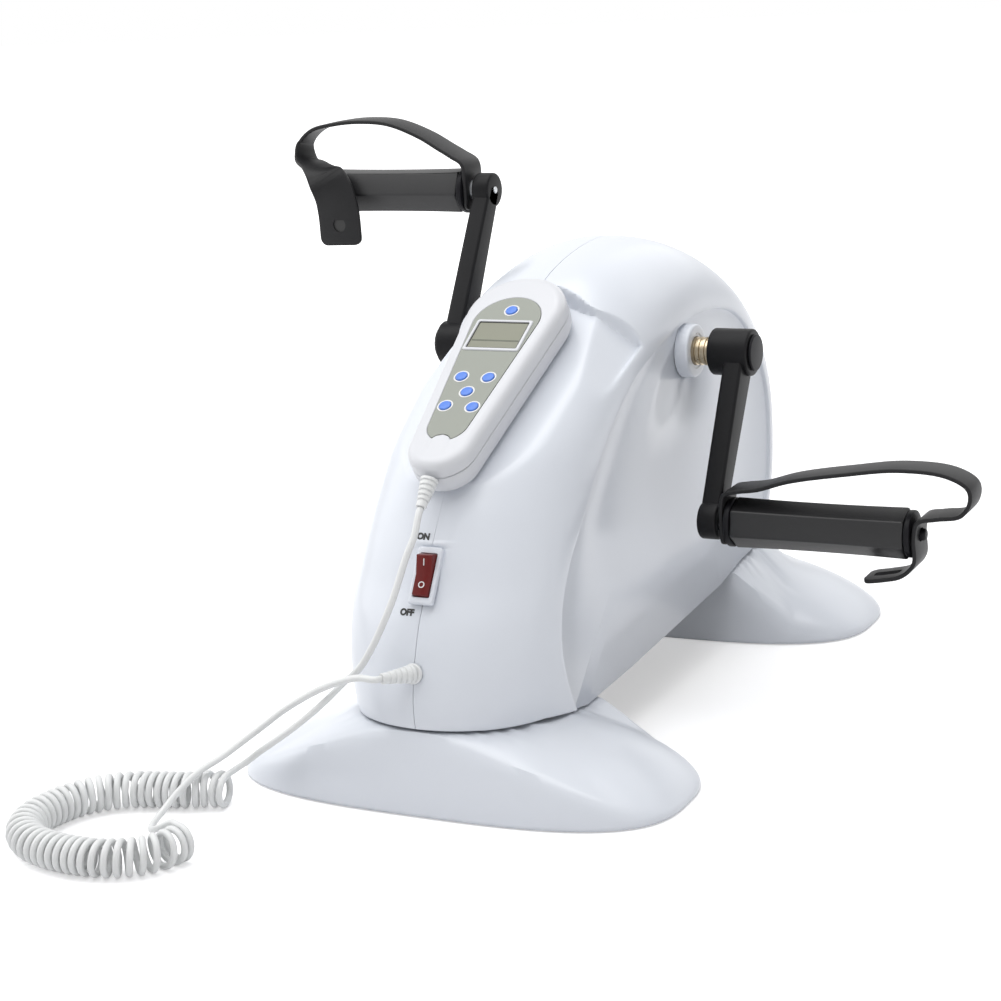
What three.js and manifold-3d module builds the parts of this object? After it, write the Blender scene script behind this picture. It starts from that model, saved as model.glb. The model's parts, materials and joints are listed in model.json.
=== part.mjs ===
// Mini exercise bike: a motor-driven pedal exerciser with a corded handset.
// Millimetres, +Z up. X runs along the crank axle and -Y faces the user.
// The origin is on the floor, under the middle of the machine's outline.
import * as THREE from 'three';
import { mergeVertices } from 'three/addons/utils/BufferGeometryUtils.js';
import Module from 'manifold-3d';

const wasm = await Module();
wasm.setup();

// Clearances and cuts
const seat = 0.3; // between pieces that rest on or in each other
const running = 0.3; // round a piece that turns or slides
const overrun = 4; // how far a cut runs past the face it opens
const weld = 0.0004; // points closer than this are one point

// Feet: one oval, domed cover at each end
const footLength = 268;
const footWidth = 122;
const footHeight = 44;
const footSetback = 50; // from the back of the shell to the middle of the foot
const footWall = 2.5;
const footRim = 3;
const floorClearance = 1;
const footOutlinePower = 3;
const footRidgePower = 2.2;
const footRidgeRoot = 0.75;
const footSectionPower = 2.2;
const footRingShares = [0.34, 0.6, 0.78, 0.9, 0.965, 1];
const footSpokes = 26;

// Body shell: two halves that meet on the plane X = 0
const shellReach = 207; // from the origin to the back of the shell, along Y
const shellTop = 270;
const shellHalfWidth = 62;
const shellWall = 2.5;
const panelDepth = 2.5;
const panelStep = 1.2;
const shellFootGap = 0.5;
const hoodPower = 2.2;
const hoodRings = 6;
const hoodPoints = 38;

// Outline of the shell on the seam, and of the side panel, from the front rim over the top to the back rim.
// Each row: seam Y and Z, panel Y and Z, as shares of the shell's reach and top.
const shellOutlineShares = [
  [-0.995, 0.111, -0.638, 0.111],
  [-1.014, 0.170, -0.676, 0.156],
  [-1.019, 0.222, -0.710, 0.215],
  [-1.000, 0.296, -0.734, 0.296],
  [-0.961, 0.374, -0.720, 0.374],
  [-0.908, 0.444, -0.667, 0.448],
  [-0.857, 0.520, -0.614, 0.493],
  [-0.787, 0.606, -0.541, 0.548],
  [-0.684, 0.696, -0.444, 0.622],
  [-0.531, 0.770, -0.309, 0.704],
  [-0.338, 0.863, -0.164, 0.763],
  [-0.193, 0.922, -0.058, 0.789],
  [-0.082, 0.961, 0.048, 0.809],
  [0.039, 0.985, 0.155, 0.822],
  [0.198, 1.000, 0.261, 0.831],
  [0.338, 0.998, 0.362, 0.828],
  [0.469, 0.972, 0.464, 0.817],
  [0.609, 0.920, 0.560, 0.796],
  [0.749, 0.848, 0.647, 0.757],
  [0.870, 0.756, 0.729, 0.696],
  [0.952, 0.656, 0.792, 0.624],
  [0.990, 0.559, 0.826, 0.548],
  [0.995, 0.459, 0.831, 0.459],
  [0.976, 0.352, 0.812, 0.359],
  [0.928, 0.256, 0.763, 0.270],
  [0.845, 0.178, 0.691, 0.185],
  [0.758, 0.111, 0.614, 0.111],
];

// Lower rim of the shell, as shares of its reach and top
const rimShares = [
  [-1.16, 0.185],
  [-0.82, 0.170],
  [-0.58, 0.135],
  [-0.29, 0.140],
  [0.39, 0.167],
  [0.58, 0.190],
  [1.16, 0.220],
];
const rimBottomShare = -1;

// Crank
const crankPlaceShares = [0.198, 0.7593]; // of the shell's reach and top
const crankRadius = 104;
const crankRestAngle = 31.4; // of the right crank, from straight down towards the user
const axleRadius = 8.5;
const hubRadius = 14;
const hubGap = 11.2; // from the collar to the hub
const hubLength = 25;
const hubEndWall = 5;
const hubCapThickness = 1.8;
const hubCapRadius = 11;
const armInset = 2.7; // from the hub's outer face to the arm's
const armThickness = 12;
const armHubHalfWidth = 10;
const armEndHalfWidth = 7;
const armEndRadius = 11;

// Axle collars, bearings and their housings
const collarRadius = 16;
const collarThickness = 8;
const collarNeckRadius = 12.7;
const bearingRadius = 17.5;
const bearingWidth = 10;
const housingRadius = 25;
const housingWidth = 11;
const housingGap = 5.7; // from the housing to the inside of the shell

// Pedals
const spindleRadius = 5;
const spindleNeckRadius = 7;
const spindleNeckLength = 5.2;
const rollerRadius = 15;
const rollerLength = 103;
const rollerWaistShare = 0.955;
const rollerSides = 6;
const rollerStationShares = [0, 0.03, 0.25, 0.5, 0.75, 0.97, 1];
const discInset = 0.5; // from the roller's corners to the disc's edge
const discThickness = 3.4;
const capInset = 1.5;
const capThickness = 3.4;
const pegRadius = 3.5;
const pegLength = 6.5;
const pedalTilt = { right: 20, left: 4 };

// Pedal straps: each row is a point of the band's middle line, from the spindle's neck outwards. It holds the
// share of the way from the neck to the outside of the cap, the shares of the roller's radius front to back
// and up, half the band's width as a share of strapHalfWidth, and the turn of the band about its own line
// in degrees.
const strapHalfWidth = 13;
const strapThickness = 2.4;
const strapSteps = 2;
const strapNeckGap = 0.6;
const strapDiscGap = 0.46;
const strapCapGap = 0.76;
const strapShares = {
  right: [
    [0, 0, -0.79, 0.9, 0],
    [0, 0, 0.893, 0.9, 0],
    [0.0163, 0, 1.25, 0.88, 0],
    [0.0831, 0, 1.387, 0.84, 0],
    [0.1915, 0, 1.511, 0.82, 0],
    [0.3641, 0, 1.909, 0.8, 0],
    [0.6522, 0, 2.3, 0.8, 0],
    [0.926, 0, 2.568, 0.8, 0],
    [1.1681, 0, 2.438, 0.8, 0],
    [1.2738, 0, 1.991, 0.8, 0],
    [1.2801, 0, 1.476, 0.8, 0],
    [1.2331, 0, 0.961, 0.8, 0],
    [1.113, 0, 0.79, 0.84, 0],
    [1.0226, 0, 0.618, 0.88, 0],
    [1.0009, 0, 0, 0.9, 0],
    [1, 0, -0.961, 0.9, 0],
    [0.9368, 0, -1.476, 0.9, 0],
    [0.842, 0, -1.682, 0.9, 0],
    [0.7335, 0, -1.82, 0.85, 0],
  ],
  left: [
    [0, 0, -0.79, 0.9, 0],
    [0, 0, 0.343, 0.9, 0],
    [0.009, 0, 1.167, 0.9, 0],
    [0.0786, 0, 1.524, 0.88, 0],
    [0.1554, 0, 1.854, 0.86, 0],
    [0.2764, 0, 2.369, 0.84, 0],
    [0.4698, 0, 2.911, 0.82, 0],
    [0.6604, 0, 3.035, 0.8, 0],
    [0.8248, 0, 2.953, 0.8, 0],
    [0.9829, 0, 2.705, 0.78, 0],
    [1.075, 0, 2.108, 0.74, 0],
    [1.057, -0.275, 1.476, 0.7, 10],
    [0.9504, -0.893, 1.181, 0.76, 35],
    [0.8645, -1.305, 0.824, 0.92, 65],
    [0.8094, -1.373, 0.137, 1.1, 85],
    [0.7858, -1.373, -0.687, 1.19, 90],
    [0.7813, -1.373, -2.2, 1.19, 90],
  ],
};
const strapHoleRadius = 4.6;
const leftHoleShare = -1.305; // of the roller's radius
const slotShares = [0.80, 0.95]; // of the roller's length
const slotHalfWidth = 3.6;

// Chassis inside the shell
const padRadius = 12;
const padHeight = 8;
const padInset = 5; // from the bar's end to the middle of the pad
const barInset = 59; // from the foot's tip to the bar's end
const barDepth = 38;
const barHeight = 20;
const plateHeight = 50;
const plateThickness = 3;
const plateMargin = 10; // from the plate's edges to the middle of the posts
const plateGap = 7; // from the plate to the inside of the shell
const postRadius = 8;
const uprightThickness = 4;
const uprightWidth = 52;

// Drive
const drivePulleyRadius = 50;
const motorPulleyRadius = 14;
const pulleyGap = 4; // from the pulley to the upright
const pulleyWidth = 14;
const grooveDepth = 2;
const grooveWall = 1.5;
const pulleySides = 20;
const beltSteps = 20;
const beltThickness = 1.6;
const motorBehindCrank = 86;
const motorBelowCrank = 87;
const motorRadius = 30;
const motorGap = 10.4; // from the gearbox to the inside of the shell
const gearboxRadius = 24;
const gearboxLength = 4;
const motorShaftRadius = 4;
const bracketThickness = 3;
const bracketWidth = 66;
const bracketFoot = 22;
const bracketRise = 40; // above the motor's middle

// Control board
const boardInset = 12; // from the plate's front edge to the card
const boardLength = 66;
const boardWidth = 76;
const boardThickness = 1.6;
const boardFootHeight = 6;
const boardFootSize = 6;
const boardBlockHeight = 24;

// Mains switch, on the seam at the front
const switchPlaceShares = [-0.8918, 0.4681]; // of the shell's reach and top
const switchSlope = 57;
const bezelWidth = 15;
const bezelLength = 32;
const bezelThickness = 2.2;
const bezelRise = 0.9;
const switchBodyWidth = 12.8;
const switchBodyLength = 27.6;
const switchBodyDepth = 24;
const rockerWidth = 9.6;
const rockerRadius = 12;
const rockerPivotDepth = 1;
const rockerFaceHeight = 3.4;
const rockerSkirt = 5;
const rockerThrow = 20;

// Mains inlet, on the seam at the back
const inletPlaceShares = [1.0121, 0.3333]; // of the shell's reach and top
const inletSlope = -113;
const inletWidth = 30;
const inletHeight = 24;
const inletFlange = 2.2;
const inletBodyWidth = 27;
const inletBodyHeight = 20;
const inletDepth = 20;
const socketWall = 2;
const socketDepth = 15;
const inletPinLength = 12;
const inletPinWidth = 4;
const inletPinThickness = 2;
const inletPinSpacing = 7;
const inletPinRise = 3;

// Cord and its strain reliefs
const cordDiameter = 3.8;
const reliefRibs = 4;
const reliefSides = 10;
const ribShares = [0.55, 0.65, 0.9, 1];
const reliefBaseRadius = 5;
const reliefTipRadius = 3;
const ribRise = 0.8;
const glandPlaceShares = [-1.0029, 0.2926]; // of the shell's reach and top
const glandSlope = 74;
const glandStudRadius = 4.4;
const glandStudLength = 8;
const glandFlangeRadius = 5.6;
const glandFlangeThickness = 2;
const glandLength = 19;
const glandDirectionShares = [-0.50, -0.86, 0.10];

// Handset: a tapered body with round ends, whose place is the point of its face above the notch
const handsetPlaceShares = [-0.7604, 0.7293]; // of the shell's reach and top
const handsetSlope = 29.2;
const handsetTopRadius = 30;
const handsetTopCentre = 108;
const handsetEndRadius = 19.5;
const handsetEndCentre = -2.5;
const handsetThickness = 24;
const handsetSplit = 10.3;
const handsetWall = 2;
const frontEdge = 5;
const frontEdgeShares = [[0, -1], [0.24, -0.45], [0.7, -0.12], [1.3, 0]];
const backEdge = 9;
const backEdgeShares = [[0, 1], [0.1, 0.5], [0.35, 0.16], [0.8, 0]];
const faceTopRadius = 20.5;
const faceTopCentre = 96.5;
const faceEndRadius = 12;
const faceEndCentre = 10;
const facePlateThickness = 1;
const faceRecess = facePlateThickness + seat;
const notchRadius = 7.5;
const notchDrop = 2.9; // from the end of the face plate to the middle of the notch
const displayCentre = 84;
const displayFrameWidth = 35.4;
const displayFrameHeight = 26;
const displayFrameRise = 0.8;
const displayBorder = 2.4;
const displayGlassDrop = 0.5;
const buttonRadius = 3.5;
const buttonRise = 1;
const buttonFlangeRadius = 4.5;
const buttonFlangeThickness = 1.2;
const buttonTravel = 0.8;
const buttonSides = 12;
const buttonShares = { // across and along, as shares of the place of the handset's top centre
  button_power: [0, 0.979],
  button_start: [-0.078, 0.454],
  button_stop: [0.078, 0.454],
  button_mode: [0, 0.341],
  button_minus: [-0.078, 0.231],
  button_plus: [0.078, 0.231],
};
const handsetBoardThickness = 1.6;
const handsetReliefLength = 17;
const handsetReliefDrop = 17; // degrees below the handset's own line
const handsetReliefDepth = 9;
const reliefStudRadius = 3.2;
const reliefStudLength = 6;

// Pocket for the handset in the top of the shell. Each row: half width and place along the handset's line, as
// shares of the handset's length. Beyond a slanting line the floor falls away towards the side panel.
const pocketShares = [
  [0, -0.26],
  [0.21, -0.25],
  [0.38, -0.11],
  [0.53, 0.25],
  [0.53, 0.81],
  [0.26, 0.81],
  [0.2, 0.815],
  [0.15, 0.84],
  [0.075, 0.872],
  [0, 0.881],
];
const pocketBendShares = [0.325, 0.325];
const pocketBendTurn = 10.3;
const pocketFall = 50;

// Materials
function plain(colour, roughness, metalness) {
  return new THREE.MeshStandardMaterial({ color: colour, roughness, metalness });
}
const whiteGloss = plain(0xeceef2, 0.25, 0);
const blackRubber = plain(0x1c1d1f, 0.75, 0);
const blackPaint = plain(0x202123, 0.4, 0.2);
const blackPlastic = plain(0x18191b, 0.5, 0);
const steel = plain(0xb9a88a, 0.3, 1);
const zinc = plain(0x9aa0a6, 0.4, 1);
const redPlastic = plain(0xb01218, 0.3, 0);
const facePaper = plain(0xc3c4b8, 0.5, 0);
const displayGreen = plain(0x9aa090, 0.2, 0);
const bluePlastic = plain(0x4f86e0, 0.35, 0);
const cordWhite = plain(0xeceff0, 0.45, 0);
const boardGreen = plain(0x1f6b3a, 0.6, 0);

const group = new THREE.Group();
const degrees = THREE.MathUtils.degToRad;

const footSpacing = 2 * (shellReach - footSetback);

function onShell([reachShare, topShare]) {
  return [reachShare * shellReach, topShare * shellTop];
}

const [crankY, crankZ] = onShell(crankPlaceShares);
const panelX = shellHalfWidth - panelDepth;
const shellInside = panelX - shellWall;
const collarOuter = panelX + seat + collarThickness;
const discRadius = rollerRadius - discInset;
const capRadius = rollerRadius - capInset;
const hubInner = collarOuter + hubGap;
const armOuter = hubInner + hubLength - armInset;
const armInner = armOuter - armThickness;
const sides = [['right', 1], ['left', -1]];
const ends = [['front', -1], ['rear', 1]];

// Solids and meshes
function solidOf(geometry) {
  const bare = new THREE.BufferGeometry();
  bare.setAttribute('position', geometry.getAttribute('position').clone());
  if (geometry.index) bare.setIndex(geometry.index.clone());
  const merged = mergeVertices(bare, weld);
  const vertProperties = new Float32Array(merged.getAttribute('position').array);
  const triVerts = new Uint32Array(merged.index.array);
  return new wasm.Manifold(new wasm.Mesh({ numProp: 3, vertProperties, triVerts }));
}

function geometryOf(solid) {
  const mesh = solid.getMesh();
  const geometry = new THREE.BufferGeometry();
  geometry.setAttribute('position', new THREE.BufferAttribute(new Float32Array(mesh.vertProperties), 3));
  geometry.setIndex(new THREE.BufferAttribute(new Uint32Array(mesh.triVerts), 1));
  return geometry;
}

function carve(base, ...cuts) {
  return geometryOf(cuts.reduce((solid, cut) => solid.subtract(solidOf(cut)), solidOf(base)));
}

function join(...parts) {
  return geometryOf(parts.slice(1).reduce((solid, part) => solid.add(solidOf(part)), solidOf(parts[0])));
}

function addMesh(name, geometry, material, parent = group) {
  const shaded = geometry.index ? geometry.toNonIndexed() : geometry.clone();
  shaded.computeVertexNormals();
  const mesh = new THREE.Mesh(shaded, material);
  mesh.name = name;
  parent.add(mesh);
  return mesh;
}

function slopedGroup([y, z], slope, parent = group) {
  const placed = new THREE.Group();
  placed.position.set(0, y, z);
  placed.rotation.x = degrees(slope);
  parent.add(placed);
  placed.updateMatrixWorld(true);
  return placed;
}

function inWorld(geometry, placed) {
  return geometry.clone().applyMatrix4(placed.matrixWorld);
}

// A closed surface through rings of points, with each end closed on its middle
function skin(rings) {
  const count = rings[0].length;
  const points = rings.flat();
  const faces = [];
  for (let r = 0; r + 1 < rings.length; r += 1) {
    for (let i = 0; i < count; i += 1) {
      const next = (i + 1) % count;
      const [a, b] = [r * count + i, r * count + next];
      faces.push(a, b, b + count, a, b + count, a + count);
    }
  }
  [0, rings.length - 1].forEach((r) => {
    const middle = new THREE.Vector3();
    rings[r].forEach((point) => middle.addScaledVector(point, 1 / count));
    points.push(middle);
    for (let i = 0; i < count; i += 1) {
      const [a, b] = [r * count + i, r * count + ((i + 1) % count)];
      faces.push(...(r === 0 ? [b, a] : [a, b]), points.length - 1);
    }
  });
  let volume = 0;
  for (let f = 0; f < faces.length; f += 3) {
    const [a, b, c] = [points[faces[f]], points[faces[f + 1]], points[faces[f + 2]]];
    volume += a.dot(b.clone().cross(c));
  }
  if (volume < 0) faces.reverse();
  const geometry = new THREE.BufferGeometry().setFromPoints(points);
  geometry.setIndex(faces);
  return geometry;
}

// Simple shapes, placed by their lowest corner or end
function block(x, y, z, width, depth, height) {
  return new THREE.BoxGeometry(width, depth, height).translate(x + width / 2, y + depth / 2, z + height / 2);
}

function middleBlock(y, z, width, depth, height) {
  return block(-width / 2, y - depth / 2, z, width, depth, height);
}

function rodX(radius, x, length, segments = 20) {
  return new THREE.CylinderGeometry(radius, radius, Math.abs(length), segments)
    .rotateZ(Math.PI / 2)
    .translate(x + length / 2, 0, 0);
}

function rodZ(radius, x, y, z, length, segments = 16) {
  return new THREE.CylinderGeometry(radius, radius, length, segments)
    .rotateX(Math.PI / 2)
    .translate(x, y, z + length / 2);
}

function turned(profile, segments = 16) {
  return new THREE.LatheGeometry(profile.map(([r, h]) => new THREE.Vector2(r, h)), segments);
}

function prismX(outline, x, thickness) {
  const shape = new THREE.Shape(outline.map(([y, z]) => new THREE.Vector2(y, z)));
  return new THREE.ExtrudeGeometry(shape, { depth: thickness, bevelEnabled: false })
    .rotateX(Math.PI / 2)
    .rotateZ(Math.PI / 2)
    .translate(x, 0, 0);
}

function prismZ(outline, z, height) {
  const shape = new THREE.Shape(outline.map(([x, y]) => new THREE.Vector2(x, y)));
  return new THREE.ExtrudeGeometry(shape, { depth: height, bevelEnabled: false }).translate(0, 0, z);
}

// Outline of two circles on one line and their outer tangents, grown by an amount, with the first on top
function taperedOutline(topRadius, topCentre, endRadius, endCentre, grow = 0, steps = 8) {
  const lean = Math.asin((topRadius - endRadius) / (topCentre - endCentre));
  const points = [];
  const arc = (radius, centre, from, to) => {
    for (let i = 0; i <= steps; i += 1) {
      const angle = from + ((to - from) * i) / steps;
      points.push([(radius + grow) * Math.cos(angle), centre + (radius + grow) * Math.sin(angle)]);
    }
  };
  arc(topRadius, topCentre, -lean, Math.PI + lean);
  arc(endRadius, endCentre, Math.PI + lean, 2 * Math.PI - lean);
  return points;
}

function handsetOutline(grow, steps) {
  return taperedOutline(
    handsetTopRadius, handsetTopCentre, handsetEndRadius, handsetEndCentre, grow, steps);
}

function ringAt(outline, z) {
  return outline.map(([x, y]) => new THREE.Vector3(x, y, z));
}

// Feet
function footBulk(grow, bottom) {
  const halfLength = footLength / 2 + grow;
  const halfWidth = footWidth / 2 + grow;
  const rise = footHeight + grow - footRim;
  const spread = 2 / footOutlinePower;
  const power = (value, exponent) => Math.sign(value) * Math.abs(value) ** exponent;
  const heightAt = (x, y) => {
    const along = Math.min(Math.abs(x) / halfLength, 1);
    const localHalf = halfWidth * (1 - along ** footOutlinePower) ** (1 / footOutlinePower);
    const across = localHalf > 0 ? Math.min(Math.abs(y) / localHalf, 1) : 1;
    const ridge = (1 - along ** footRidgePower) ** footRidgeRoot;
    return footRim + rise * ridge * Math.max(1 - across ** footSectionPower, 0) ** (1 / footSectionPower);
  };
  const ring = (share, height) => Array.from({ length: footSpokes }, (_, i) => {
    const angle = ((i + 1 / 2) / footSpokes) * 2 * Math.PI;
    const x = share * halfLength * power(Math.cos(angle), spread);
    const y = share * halfWidth * power(Math.sin(angle), spread);
    return new THREE.Vector3(x, y, height === undefined ? heightAt(x, y) : height);
  });
  return skin([ring(1, bottom), ...footRingShares.toReversed().map((share) => ring(share))]);
}

const postX = shellInside - plateGap - plateMargin;
const barLength = footLength - 2 * barInset;
const padX = barLength / 2 - padInset;
const barBottom = padHeight + seat;
const barTop = barBottom + barHeight;
ends.forEach(([name, end]) => {
  const y = (end * footSpacing) / 2;
  const postHoles = sides.map(([, side]) => rodZ(postRadius + seat, side * postX, 0, barTop, plateHeight));
  const cover = carve(footBulk(0, floorClearance), footBulk(-footWall, -overrun), ...postHoles);
  addMesh(`${name}_foot`, cover.translate(0, y, 0), whiteGloss);
  addMesh(`${name}_cross_bar`, middleBlock(y, barBottom, barLength, barDepth, barHeight), blackPaint);
  sides.forEach(([sideName, side]) => {
    const pad = rodZ(padRadius, side * padX, y, 0, padHeight, 24);
    addMesh(`floor_pad_${name}_${sideName}`, pad, blackRubber);
  });
});

// Body shell
const seamCurve = new THREE.CatmullRomCurve3(shellOutlineShares.map(
  ([y, z]) => new THREE.Vector3(0, y * shellReach, z * shellTop)));
const panelCurve = new THREE.CatmullRomCurve3(shellOutlineShares.map(
  ([, , y, z]) => new THREE.Vector3(0, y * shellReach, z * shellTop)));

function insetLine(curve, inset) {
  return Array.from({ length: hoodPoints }, (_, i) => {
    const share = i / (hoodPoints - 1);
    const point = curve.getPoint(share);
    const tangent = curve.getTangent(share);
    return new THREE.Vector3(0, point.y + inset * tangent.z, point.z - inset * tangent.y);
  });
}

function halfShellBulk(side, inset, seamX) {
  const flatX = panelX - inset;
  const widest = inset > 0 ? flatX : shellHalfWidth;
  const outer = insetLine(seamCurve, inset);
  const inner = insetLine(panelCurve, inset);
  const rings = [];
  for (let k = 0; k <= hoodRings; k += 1) {
    const angle = (k / hoodRings) * (Math.PI / 2);
    const x = widest * Math.sin(angle) ** (2 / hoodPower);
    const share = Math.abs(Math.cos(angle)) ** (2 / hoodPower);
    rings.push(outer.map((point, i) => {
      const place = inner[i].clone().lerp(point, k === hoodRings ? 0 : share);
      return place.setX(side * (k === 0 ? seamX : x));
    }));
  }
  if (inset === 0) rings.push(insetLine(panelCurve, panelStep).map((point) => point.setX(side * flatX)));
  return skin(rings);
}

const handset = slopedGroup(onShell(handsetPlaceShares), handsetSlope);
const switchPlace = slopedGroup(onShell(switchPlaceShares), switchSlope);
const inletPlace = slopedGroup(onShell(inletPlaceShares), inletSlope);
const glandPlace = slopedGroup(onShell(glandPlaceShares), glandSlope);

const handsetLength = handsetTopCentre + handsetTopRadius - handsetEndCentre + handsetEndRadius;

function pocketCut(grow) {
  const half = pocketShares.map(([x, y]) => [
    x * handsetLength + grow, y * handsetLength + (y > 0 ? grow : -grow)]);
  const outline = [...half, ...half.toReversed().slice(1, -1).map(([x, y]) => [-x, y])];
  const floor = -handsetThickness - seat - grow;
  const column = (bottom) => prismZ(outline, bottom, 2 * handsetLength);
  const [bendX, bendY] = pocketBendShares.map((share) => share * handsetLength);
  const shift = bendX - grow * Math.tan(degrees(pocketFall / 2));
  const falls = sides.map(([, side]) => block(
    side > 0 ? 0 : -handsetLength, -handsetLength, 0, handsetLength, 2 * handsetLength, handsetLength)
    .rotateY(side * degrees(pocketFall))
    .rotateZ(side * degrees(pocketBendTurn))
    .translate(side * shift, bendY, floor));
  const lower = solidOf(column(floor - handsetLength)).intersect(solidOf(join(...falls)));
  return inWorld(join(column(floor), geometryOf(lower)), handset);
}

const rimOutline = [
  [rimShares[0][0], rimBottomShare],
  [rimShares.at(-1)[0], rimBottomShare],
  ...rimShares.toReversed(),
].map(([y, z]) => [y * shellReach, z * shellTop]);
const rimCut = prismX(rimOutline, -shellHalfWidth - overrun, 2 * (shellHalfWidth + overrun));

const switchSeat = middleBlock(0, 0, bezelWidth + 2 * seat, bezelLength + 2 * seat, overrun);
const switchHole = middleBlock(
  0, -switchBodyDepth, switchBodyWidth + 2 * seat, switchBodyLength + 2 * seat, switchBodyDepth + overrun);
const inletSeat = middleBlock(0, 0, inletWidth + 2 * seat, inletHeight + 2 * seat, overrun);
const inletHole = middleBlock(
  0, -inletDepth, inletBodyWidth + 2 * seat, inletBodyHeight + 2 * seat, inletDepth + overrun);
const glandHole = rodZ(glandStudRadius + seat, 0, 0, -glandStudLength, glandStudLength + overrun);
const glandFlat = rodZ(glandFlangeRadius + seat, 0, 0, 0, overrun);
const seamCuts = [
  rimCut,
  ...ends.map(([, end]) => footBulk(shellFootGap, -overrun).translate(0, (end * footSpacing) / 2, 0)),
  inWorld(switchSeat, switchPlace),
  inWorld(switchHole, switchPlace),
  inWorld(inletSeat, inletPlace),
  inWorld(inletHole, inletPlace),
  inWorld(glandHole, glandPlace),
  inWorld(glandFlat, glandPlace),
];

sides.forEach(([name, side]) => {
  const axleHole = rodX(collarNeckRadius + seat, 0, side * (shellHalfWidth + overrun))
    .translate(0, crankY, crankZ);
  const outside = solidOf(halfShellBulk(side, 0, seat / 2)).subtract(solidOf(pocketCut(0)));
  const inside = solidOf(halfShellBulk(side, shellWall, -overrun)).subtract(solidOf(pocketCut(shellWall)));
  const shell = [...seamCuts, axleHole].reduce(
    (solid, cut) => solid.subtract(solidOf(cut)), outside.subtract(inside));
  addMesh(`shell_${name}`, geometryOf(shell), whiteGloss);
});

// Chassis: a plate on posts, with an upright on each side for the axle
const plateTop = plateHeight + plateThickness;
const plateLength = footSpacing + 2 * plateMargin;
const plateWidth = 2 * (shellInside - plateGap);
const uprightInner = shellInside - housingGap - housingWidth - seat - uprightThickness;
const chassisParts = [middleBlock(0, plateHeight, plateWidth, plateLength, plateThickness)];
ends.forEach(([, end]) => sides.forEach(([, side]) => {
  const postBottom = barTop + seat;
  chassisParts.push(rodZ(
    postRadius, side * postX, (end * footSpacing) / 2, postBottom, plateTop - postBottom));
}));
sides.forEach(([, side]) => {
  const inner = side > 0 ? uprightInner : -uprightInner - uprightThickness;
  chassisParts.push(block(
    inner, crankY - uprightWidth / 2, plateHeight, uprightThickness, uprightWidth, crankZ - plateHeight));
  chassisParts.push(rodX(uprightWidth / 2, inner, uprightThickness).translate(0, crankY, crankZ));
});
const axleBore = rodX(axleRadius + 2 * running, -shellHalfWidth, 2 * shellHalfWidth)
  .translate(0, crankY, crankZ);
addMesh('chassis', carve(join(...chassisParts), axleBore), blackPaint);

// Axle, collars, bearings and housings
const axleHalfLength = hubInner + hubLength - hubEndWall - seat;
const axle = rodX(axleRadius, -axleHalfLength, 2 * axleHalfLength);
addMesh('crank_axle', axle.translate(0, crankY, crankZ), steel);

function sleeveX(outerRadius, innerRadius, side, x, length) {
  const tube = carve(
    rodX(outerRadius, side * x, side * length),
    rodX(innerRadius, side * (x - overrun), side * (length + 2 * overrun)));
  return tube.translate(0, crankY, crankZ);
}

const bearingInner = uprightInner + uprightThickness + seat;
sides.forEach(([name, side]) => {
  addMesh(`axle_bearing_${name}`,
    sleeveX(bearingRadius, axleRadius + running, side, bearingInner, bearingWidth), zinc);
  addMesh(`bearing_housing_${name}`,
    sleeveX(housingRadius, bearingRadius + seat, side, bearingInner, housingWidth), blackPaint);
  const flangeInner = panelX + seat;
  const neckInner = bearingInner + housingWidth + seat;
  const flange = rodX(collarRadius, side * flangeInner, side * (collarOuter - flangeInner));
  const neck = rodX(collarNeckRadius, side * neckInner, side * (collarOuter - neckInner));
  const bore = rodX(axleRadius + running, 0, side * (collarOuter + overrun));
  addMesh(`axle_collar_${name}`, carve(join(flange, neck), bore).translate(0, crankY, crankZ), whiteGloss);
});

// Cranks and pedals
const discInner = armOuter + seat + spindleNeckLength + seat;
const rollerInner = discInner + discThickness + seat;
const rollerOuter = rollerInner + rollerLength;
const capInner = rollerOuter + seat;
const shaftEnd = rollerOuter - seat;
const strapInner = discInner - strapDiscGap - strapThickness / 2;
const strapOuter = capInner + capThickness + strapCapGap + strapThickness / 2;
const strapX = (share) => THREE.MathUtils.lerp(strapInner, strapOuter, share);

// The band of a strap: a flat section carried along its middle line
function ribbon(rows, side) {
  const line = new THREE.CatmullRomCurve3(rows.map(([x, y, z]) => new THREE.Vector3(
    side * strapX(x), y * rollerRadius, z * rollerRadius)));
  const count = (rows.length - 1) * strapSteps;
  const rings = [];
  for (let i = 0; i <= count; i += 1) {
    const share = i / count;
    const row = Math.min(Math.floor(share * (rows.length - 1)), rows.length - 2);
    const part = share * (rows.length - 1) - row;
    const half = strapHalfWidth * THREE.MathUtils.lerp(rows[row][3], rows[row + 1][3], part);
    const turn = degrees(THREE.MathUtils.lerp(rows[row][4], rows[row + 1][4], part));
    const along = line.getTangent(share);
    const across = new THREE.Vector3(-side * Math.sin(turn), Math.cos(turn), 0);
    const out = along.clone().cross(across).normalize();
    across.crossVectors(out, along).normalize();
    const corner = (u, v) => line.getPoint(share)
      .addScaledVector(across, u * half)
      .addScaledVector(out, (v * strapThickness) / 2);
    rings.push([corner(-1, -1), corner(1, -1), corner(1, 1), corner(-1, 1)]);
  }
  return skin(rings);
}

// Six-sided roller with a slight waist and a flat side up
function rollerBulk(side) {
  const waist = (share) => (share === 0 || share === 1
    ? rollerWaistShare
    : 1 - (1 - rollerWaistShare) * (1 - (2 * share - 1) ** 2));
  return skin(rollerStationShares.map((share) => Array.from({ length: rollerSides }, (_, i) => {
    const angle = (2 * Math.PI * i) / rollerSides;
    const radius = rollerRadius * waist(share);
    return new THREE.Vector3(
      side * (rollerInner + share * rollerLength), radius * Math.cos(angle), radius * Math.sin(angle));
  })));
}

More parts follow.
